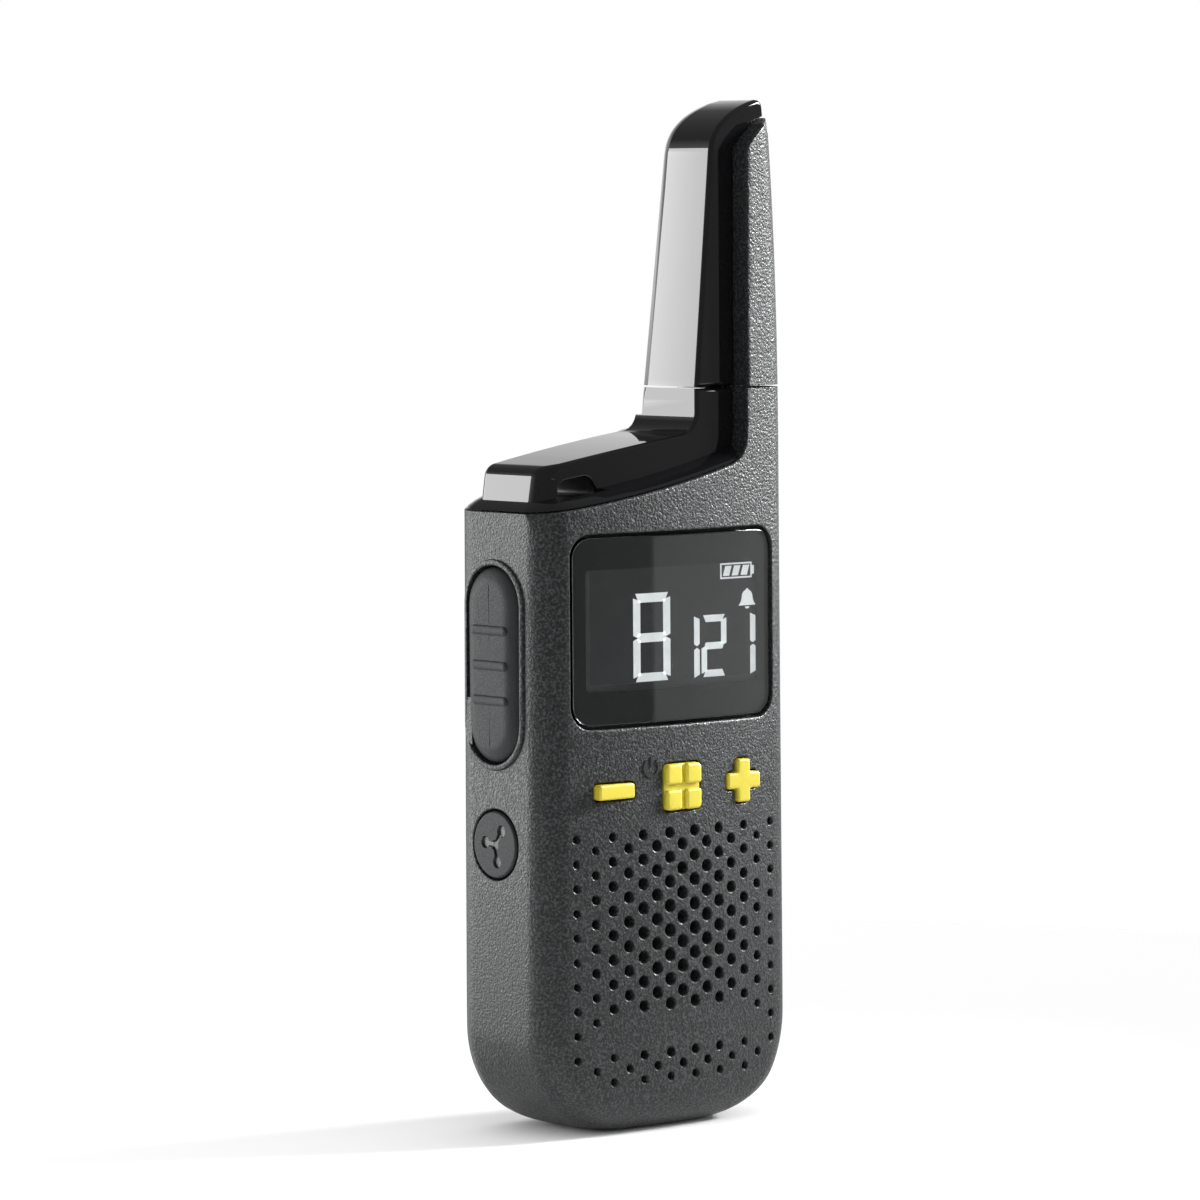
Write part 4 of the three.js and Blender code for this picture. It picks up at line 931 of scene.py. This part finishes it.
def skirt_ring(draw, height):
    """The level outline of the gloss flange, drawn in from the body's outline; z follows the shoulder."""
    w = HALF_W - TAPER - draw
    front, back = FRONT_Y + draw * 1.35, BACK_Y - draw * 1.3
    r = max(FRONT_CORNER - draw * 0.6, 1.5)
    wide, deep = 2 * (w - r), back - front - 2 * r
    sides = [
        (w - r, front + r, -1, 0, deep, 6),
        (w - r, back - r, 0, -wide, 0, 24),
        (r - w, back - r, 1, 0, -deep, 6),
        (r - w, front + r, 2, wide, 0, 24),
    ]
    points = []
    for cx, cy, quarter, run_x, run_y, parts in sides:
        points += arc(cx, cy, r, quarter * math.pi / 2, (quarter + 1) * math.pi / 2, 14)
        last_x, last_y = points[-1]
        points += [(last_x + run_x * k / parts, last_y + run_y * k / parts) for k in range(1, parts)]
    x, y = np.array(points).T
    return np.stack([x, y + crown(x) * (back - y) / (back - front), edge_height(x) + height], 1)


def lanyard_outline():
    left, right, low, top = -22.3, -14.0, 0.8, 112.2
    corners = [(left, edge_height(left) + low), (right, edge_height(right) + low)]
    corners += [(right - 2.2, top), (left + 0.5, top - 0.9)]
    return rounded(corners, [0.9, 0.9, 1.8, 1.6], 8, 1.0)


def tip_crest():
    """The rounding from the antenna's left side up to its flat top."""
    ends = ((antenna_left(TIP_TURN), TIP_TURN), (11.2, 170.8), (15.8, 174.0), (22.8, TIP - 0.05))
    ends = [np.array(p) for p in ends]
    steps = np.linspace(0, 1, 22)
    weights = [((1 - t) ** 3, 3 * t * (1 - t) ** 2, 3 * t * t * (1 - t), t**3) for t in steps]
    return [tuple(sum(w * p for w, p in zip(row, ends))) for row in weights]


def tip_path():
    """The antenna's left side and rounded tip, from the front."""
    left = [(antenna_left(z), z) for z in np.linspace(SEAM, TIP_TURN - 1, 14)]
    over = [(23.7, TIP - 0.1), (24.4, TIP - 0.5), (24.8, TIP - 1.2), (25.1, TIP - 2.6), (25.4, 168.0)]
    return respaced(np.array(left + tip_crest() + over + [(FAR, 165.0), (FAR, SEAM)])[::-1], 1.5)


def antenna_facet(z):
    """The slanting cut along the antenna's left rear edge, and on round the tip."""
    crest_x, crest_z = np.array(tip_crest()).T
    x = float(np.interp(z, crest_z, crest_x)) if z > TIP_TURN else antenna_left(z)
    y = antenna_back(z)
    cut_line = [(-4, -3.2), (0, -3.2), (0.25, -2.2), (1.0, -1.0), (2.2, -0.25), (3.4, 0), (3.4, 4), (-4, 4)]
    return np.array([(x + u, y + v, z) for u, v in cut_line])


def sleeve_region(grow):
    """The grained side of the antenna, from the front; its top curves over under the tip."""
    start, left = TIP - 8.4 + grow, BOUNDARY_X - grow
    curve = [(left, start), (17.2 - grow * 0.6, start + 1.1), (18.3, start + 2.0), (19.8, start + 3.2)]
    curve += [(21.4, start + 4.4), (24, start + 5.4), (27, start + 6.0), (FAR, start + 6.2)]
    return [(left, SEAM - 8), (FAR, SEAM - 8)] + curve[::-1]


def above_seam():
    return box(-FAR, FAR, -FAR, FAR, SEAM, TIP + 10)


def antenna_gloss():
    trim = gloss_block(tip_path(), 0.85, (6, 5), 2.0, antenna_back, 1.2, SEAM - 5, TIP + 5)
    keep(trim, loft([body_ring(z, 0.12) for z in np.arange(SEAM - 3, TIP + 5, 3)]))
    cut(trim, front_to_back(sleeve_region(0)))
    turn = np.linspace(TIP_TURN + 0.8, TIP - 0.05, 14)
    cut(trim, loft([antenna_facet(z) for z in (SEAM - 2, TIP_TURN, *turn, TIP + 0.6)]))
    keep(trim, above_seam())
    finish(trim, "antenna_gloss", GLOSS, nodes=["antenna_trim"], sharp=28)


def antenna_grained():
    strip = loft([body_ring(z) for z in np.arange(SEAM - 2, TIP + 2, 2.5)])
    keep(strip, prism(sleeve_region(-GAP), SOFT_EDGE + [(0, 40)], ahead=True))
    keep(strip, side_tool(), above_seam())
    finish(strip, "antenna_grained", GRAINED, nodes=["antenna_sleeve"])


# ---- display
def crowned_piece(outline, depth0, depth1, ease):
    """A plate behind the crowned front, with its front edge eased."""
    slab = crowned_slab(depth0, depth1, 24, outline[:, 1].min() - 2, outline[:, 1].max() + 2, 60)
    levels = [(0, -5), (0, 20)]
    if ease:
        levels = [(-ease * 3, depth0 - ease), (-ease, depth0), (-ease * 0.3, depth0 + ease * 0.3)]
        levels += [(0, depth0 + ease), (0, 20)]
    return keep(slab, prism(outline, levels, ahead=True))


def lens():
    front = LENS_LO[1] - FRONT_Y
    back = front + 1.1
    outline = grown_rect(LENS_LO, LENS_HI, 0, 3.5, 10, 1.2)
    cover = crowned_piece(outline, front, back, 0.3)
    finish(cover, "lens_cover", LENS, nodes=["display_lens"])
    mask = crowned_piece(outline, back + 0.02, back + 0.2, 0)
    window = rect(LCD_LO[0] + 0.9, LCD_HI[0] - 0.9, LCD_LO[2] + 1.4, LCD_HI[2] - 2.0, 0.7)
    cut(mask, front_to_back(window))
    finish(mask, "lens_mask", PRINT_AND_SHADE)


def lcd():
    y0, y1 = LCD_LO[1], LCD_HI[1]
    inner = rect(LCD_LO[0] + 2.1, LCD_HI[0] - 0.3, LCD_LO[2] + 2.5, LCD_HI[2] - 1.6, 0.5)
    outer = rect(LCD_LO[0] + 0.05, LCD_HI[0] - 0.05, LCD_LO[2] + 0.3, LCD_HI[2] - 0.9, 0.7)
    bezel = prism(outer, [(0, y0 - 0.12), (0, y0 - 0.02)], at_y)
    cut(bezel, front_to_back(inner))
    finish(bezel, "lcd_bezel", BEZEL)
    panel = prism(grown_rect(LCD_LO, LCD_HI, 0, 0.6), [(-0.1, y0), (0, y0 + 0.1), (0, y1)], at_y)
    # The display face and its segments get the glowing materials, which are painted light.
    finish(panel, "lcd_face", LCD, nodes=["lcd_panel"])
    outlines = [*digit(-8.1, 0.1, 76.8, 91.9, 1.55, "abcdefg"), *digit(7.1, 12.7, 76.9, 87.5, 1.2, "abged")]
    outlines += [*one(6.05), *one(18.7), *battery_sign(), *bell()]
    pieces = [prism(p, [(0, y0 - 0.06), (0, y0 - 0.005)], at_y) for p in outlines]
    finish(joined(pieces), "lcd_segments", SEGMENT, weighted=False)


def digit(x0, x1, z0, z1, width, lit):
    """Outlines of the lit strokes of a digit with seven segments, named a to g."""
    h, gap, half_way = width / 2, 0.1, (z0 + z1) / 2
    left, right = x0 + h, x1 - h
    l, r = left + gap, right - gap

    def bar(z, lean):
        return [(l + lean, z - h), (r - lean, z - h), (r + lean, z + h), (l - lean, z + h)]

    def post(x, end, point, inward):
        way = math.copysign(1, point - end)
        neck = point - way * h * 0.45
        outer, inner = x - inward * h, x + inward * h
        slant = [(outer, end - way * h * 0.15), (inner, end + way * h * 0.5)]
        return slant + [(inner, neck), (x, point), (outer, neck)]

    low, high = z0 + h + gap, z1 - h - gap
    z, notch = half_way, h * 0.4
    shapes = {
        "a": bar(z1 - h, h * 0.5),
        "d": bar(z0 + h, -h * 0.5),
        "g": [(l + notch, z - h), (r - notch, z - h), (r, z), (r - notch, z + h), (l + notch, z + h), (l, z)],
        "f": post(left, high, half_way + gap, 1),
        "b": post(right, high, half_way + gap, -1),
        "e": post(left, low, half_way - gap, 1),
        "c": post(right, low, half_way - gap, -1),
    }
    return [shapes[name] for name in lit]


def one(x):
    """The two strokes of a narrow 1."""
    w, z0, z1 = 0.6, 76.9, 87.4
    m = (z0 + z1) / 2
    low = [(x - w, z0), (x + w, z0 + 0.5), (x + w, m - 0.5), (x, m - 0.14), (x - w, m - 0.5)]
    high = [(x - w, m + 0.5), (x, m + 0.14), (x + w, m + 0.5), (x + w, z1 - 0.5), (x - w, z1)]
    return [low, high]


def slab_outline(x0, x1, z0, z1, lean=0.0):
    return [(x0, z0), (x1, z0), (x1 + lean, z1), (x0 + lean, z1)]


def battery_sign():
    """A frame of four strokes, its contact, and three leaning bars inside."""
    x0, x1, z0, z1, t = 11.4, 18.5, 93.5, 96.2, 0.28
    low, high = z0 + t + 0.02, z1 - t - 0.02
    frame_strokes = [
        slab_outline(x0, x1, z0, z0 + t),
        slab_outline(x0, x1, z1 - t, z1),
        slab_outline(x0, x0 + t, low, high),
        slab_outline(x1 - t, x1, low, high),
    ]
    contact = slab_outline(x1 + 0.05, x1 + 0.5, z0 + 0.6, z1 - 0.6)
    starts = [x0 + 0.6 + i * 2.0 for i in range(3)]
    bars = [slab_outline(x, x + 1.4, z0 + 0.5, z1 - 0.5, 0.55) for x in starts]
    return frame_strokes + [contact] + bars


def bell():
    cx, cz = 17.45, 88.2
    side = [(1.95, 0.55), (1.5, 1.05), (1.25, 1.7), (1.15, 2.4), (0.8, 2.95), (0.3, 3.2), (0.2, 3.45)]
    dome = side + [(-u, v) for u, v in side[::-1]]
    clapper = [(-0.5, 0.32), (-0.35, 0.05), (0, -0.05), (0.35, 0.05), (0.5, 0.32)]
    return [[(cx + u, cz + v) for u, v in shape] for shape in (dome, clapper)]


# ---- keys and buttons
def menu_key(x, face, deep):
    """A square key with four raised pads; the outer corner of each pad is rounder."""
    key = prism(key_outline("menu"), eased(0.3, 3, face + 0.75) + [(0, deep)], at_y)
    near, far = 0.42, 3.95
    pads = []
    for sx, sz in ((-1, -1), (-1, 1), (1, -1), (1, 1)):
        u0, u1 = sorted((x + sx * near, x + sx * far))
        v0, v1 = sorted((KEY_Z + sz * near, KEY_Z + sz * far))
        outer = (x + sx * far, KEY_Z + sz * far)
        radii = [0.95 if corner == outer else 0.6 for corner in ((u0, v0), (u1, v0), (u1, v1), (u0, v1))]
        levels = eased(0.55, 5, face) + [(0, deep - 1)]
        pads.append(prism(rect(u0, u1, v0, v1, radii, 5), levels, at_y, fan=True))
    return add(key, joined(pads))


def keys():
    for kind in KEYS:
        name = "key_" + kind
        low, high = mm_box(name)
        x, face, deep = middle(name)[0], low[1], low[1] + 4.6
        if kind == "menu":
            key = menu_key(x, face, deep)
        else:
            key = prism(key_outline(kind), eased(0.42, 5, face) + [(0, deep)], at_y, fan=True)
        flange = rect(low[0], high[0], low[2], high[2], 0.5)
        add(key, prism(flange, [(0, deep - 0.3), (0, deep + 0.4)], at_y))
        add(key, prism(circle(x, KEY_Z, 1.2, 16), [(0, deep), (0, high[1])], at_y))
        finish(key, name + "_cap", YELLOW, name, [name], sharp=40)


def power_mark():
    """An open ring with a bar, printed above the keys."""
    x, z, r = -6.7, 62.5, 1.5
    turn = np.radians(np.linspace(130, 410, 28))
    outer = [(x + (r + 0.3) * math.cos(a), z + (r + 0.22) * math.sin(a)) for a in turn]
    inner = [(x + (r - 0.26) * math.cos(a), z + (r - 0.26) * math.sin(a)) for a in turn[::-1]]
    bar = rect(x - 0.28, x + 0.28, z + 0.15, z + 1.95, 0.2)
    strokes = [prism(outline, [(0, -0.16), (0, 0.3)]) for outline in (outer + inner, bar)]
    finish(joined(strokes), "power_sign", PRINT_AND_SHADE)


def talk_key():
    face, rib_face, back = PTT_LO[0] + 0.42, PTT_LO[0], PTT_HI[0]
    dome = [(-2.9, 0), (-2.2, 0.1), (-1.5, 0.32), (-0.85, 0.66), (-0.35, 0.98), (0, 1.45), (0, 3)]
    cap = prism(stadium(0, 1.5), [(grow, face + depth) for grow, depth in dome], at_x, fan=True)
    flange = prism(stadium(0.85), [(0, back - 0.8), (0, back)], at_x)
    add(cap, keep(flange, box(-FAR, FAR, PTT_LO[1] + 0.3, PTT_HI[1] - 0.3, -FAR, FAR)))
    add(cap, prism(stadium(-0.1), [(0, face + 2.2), (0, back - 0.3)], at_x))
    rib = [(-0.7, 0.12), (-0.45, 0.15), (-0.2, 0.26), (0, 0.5), (0.1, 1.32)]
    levels = [(grow, rib_face + depth) for grow, depth in rib]
    for i in (-1, 0, 1):
        z = PTT_Z + i * 5.95
        add(cap, prism(centred(PTT_Y, z, 4.7, 0.9, 0.85, 6), levels, at_x))
    finish(cap, "ptt_cap", RUBBER, "ptt_button", ["ptt_button"], sharp=40)


def round_key():
    """The round key, with a sunk sign of three dots joined to a fourth."""
    face = DISC_LO[0]
    levels = eased(0.45, 4, face) + [(0, face + 2.6)]
    disc = prism(circle(DISC_Y, DISC_Z, DISC_R, 64), levels, at_x, fan=True)
    levels = [(0, DISC_HI[0] - 0.6), (0, DISC_HI[0])]
    add(disc, prism(circle(DISC_Y, DISC_Z, DISC_R + 0.9, 48), levels, at_x))
    dots = [(-1.8, 2.4, 1.0), (2.5, 0.3, 1.0), (-0.6, -2.9, 1.0), (-0.1, -0.1, 0.85)]
    sunk = face + 0.4
    levels = [(0.12, face - 0.4), (0.06, face), (-0.12, sunk)]
    marks = [prism(circle(DISC_Y + u, DISC_Z + v, r, 24), levels, at_x, fan=True) for u, v, r in dots]
    hub = np.array([DISC_Y - 0.1, DISC_Z - 0.1])
    for u, v, _ in dots[:3]:
        end = np.array([DISC_Y + u, DISC_Z + v])
        along = (end - hub) / np.linalg.norm(end - hub)
        aside = np.array([-along[1], along[0]]) * 0.42
        line = [hub - aside, end - aside, end + aside, hub + aside]
        marks.append(prism(line, [(0.1, face - 0.4), (-0.05, sunk - 0.05)], at_x))
    cut(disc, *marks)
    finish(disc, "round_cap", RUBBER, "side_button", ["side_button"], sharp=40)

    # The sunk sign's walls and floor are painted dark: painted shade in the recess, on rubber of the same
    # colour.
    def shaded_in_sign(at, normal):
        x, y, z = at
        return face + 0.05 < x < sunk + 0.1 and math.hypot(y - DISC_Y, z - DISC_Z) < DISC_R - 1.1

    paint_shade(disc, shaded_in_sign)


def port_flap():
    face = PORT_HI[0]
    outline = rect(PORT_LO[1], PORT_HI[1], PORT_LO[2], PORT_HI[2], 0.6)
    levels = [(-0.35, face), (-0.1, face - 0.1), (0, face - 0.35), (0, PORT_LO[0])]
    flap = prism(outline, levels, at_x)
    y, z = middle("port_cover")[1], PORT_HI[2] - 1.6
    notch = centred(y, z, 1.8, 0.5, 0.45)
    cut(flap, prism(notch, [(-0.2, face - 0.4), (0.3, face + 0.3)], at_x))
    finish(flap, "port_flap", RUBBER, "port_cover", ["port_cover"])


# ---- pieces kept from the frame
def carried_over():
    looks = {
        "seal_rubber": SEAL, "speaker_cloth": CLOTH, "inner_black": INNER, "board_green": BOARD,
        "contact_brass": BRASS, "cell_wrap": CELL, "steel_parts": STEEL,
    }
    slots = {s["node"]: s["material_slot"] for s in frame["record"]["subparts"]}
    for node, obj in frame["nodes"].items():
        if obj.hide_render:
            continue
        obj.data.materials.clear()
        obj.data.materials.append(looks[slots[node]])


# ---- studio
def softbox(name, place, target, width, height, watts, spread=180):
    """A rectangular light, in metres and watts."""
    light = bpy.data.lights.new(name, "AREA")
    light.shape, light.size, light.size_y = "RECTANGLE", width, height
    light.energy, light.spread = watts, math.radians(spread)
    obj = placed(name, light)
    obj.location = place
    obj.rotation_euler = (Vector(target) - Vector(place)).to_track_quat("-Z", "Y").to_euler()


def floor():
    """A pale disc under the radio."""
    radius = 0.28
    mesh = bpy.data.meshes.new("floor")
    rim = [(x, y, 0) for x, y in arc(0, 0, radius, 0, 2 * math.pi, 96)[:-1]]
    mesh.from_pydata(rim, [], [list(range(len(rim)))])
    mesh.materials.append(plain_plastic("floor_pale", (0.88, 0.88, 0.88), 0.8))
    placed("floor", mesh)


def surroundings():
    """Plain white to look at; gloss parts mirror it dim, and bright only low behind the radio."""
    world = bpy.data.worlds.new("studio")
    scene.world = world
    world.use_nodes = True
    nodes, links = world.node_tree.nodes, world.node_tree.links
    nodes.clear()
    out = nodes.new("ShaderNodeOutputWorld")
    path = nodes.new("ShaderNodeLightPath")

    def shade(strength):
        node = nodes.new("ShaderNodeBackground")
        node.inputs["Color"].default_value = (1, 1, 1, 1)
        node.inputs["Strength"].default_value = strength
        return node

    def mapped(source, given, wanted):
        node = nodes.new("ShaderNodeMapRange")
        node.inputs["From Min"].default_value, node.inputs["From Max"].default_value = given
        node.inputs["To Min"].default_value, node.inputs["To Max"].default_value = wanted
        links.new(source, node.inputs["Value"])
        return node.outputs["Result"]

    def chosen(ray, otherwise, chosen_shader):
        node = nodes.new("ShaderNodeMixShader")
        links.new(path.outputs[ray], node.inputs["Fac"])
        links.new(otherwise.outputs[0], node.inputs[1])
        links.new(chosen_shader.outputs[0], node.inputs[2])
        return node

    way, split = nodes.new("ShaderNodeTexCoord"), nodes.new("ShaderNodeSeparateXYZ")
    links.new(way.outputs["Generated"], split.inputs[0])
    both = nodes.new("ShaderNodeMath")
    both.operation = "MULTIPLY"
    links.new(mapped(split.outputs["Y"], (0.15, 0.7), (0.0, 1.0)), both.inputs[0])
    links.new(mapped(split.outputs["Z"], (0.22, 0.5), (1.0, 0.0)), both.inputs[1])
    seen, lit, mirrored = shade(1.0), shade(1.1), shade(1.0)
    links.new(mapped(both.outputs[0], (0.0, 1.0), (0.22, 1.1)), mirrored.inputs["Strength"])
    unseen = chosen("Is Glossy Ray", lit, mirrored)
    links.new(chosen("Is Camera Ray", unseen, seen).outputs[0], out.inputs["Surface"])


def studio():
    floor()
    surroundings()
    scene.view_settings.view_transform = "Standard"
    softbox("left_back", (-0.60, 0.90, 0.14), (0, 0, 0.12), 0.58, 0.60, 8.8)
    softbox("upper_right", (0.355, -0.125, 0.25), (0, -0.01, 0.108), 0.16, 0.16, 0.37, spread=28)
    softbox("right_card", (0.46, -0.33, 0.042), (0, 0, 0.042), 0.42, 0.064, 0.04)


front_shell()
rear_shell()
battery_door()
clip_mount()
clip_blade()
shoulder()
antenna_gloss()
antenna_grained()
lens()
lcd()
keys()
power_mark()
talk_key()
round_key()
port_flap()
carried_over()
studio()
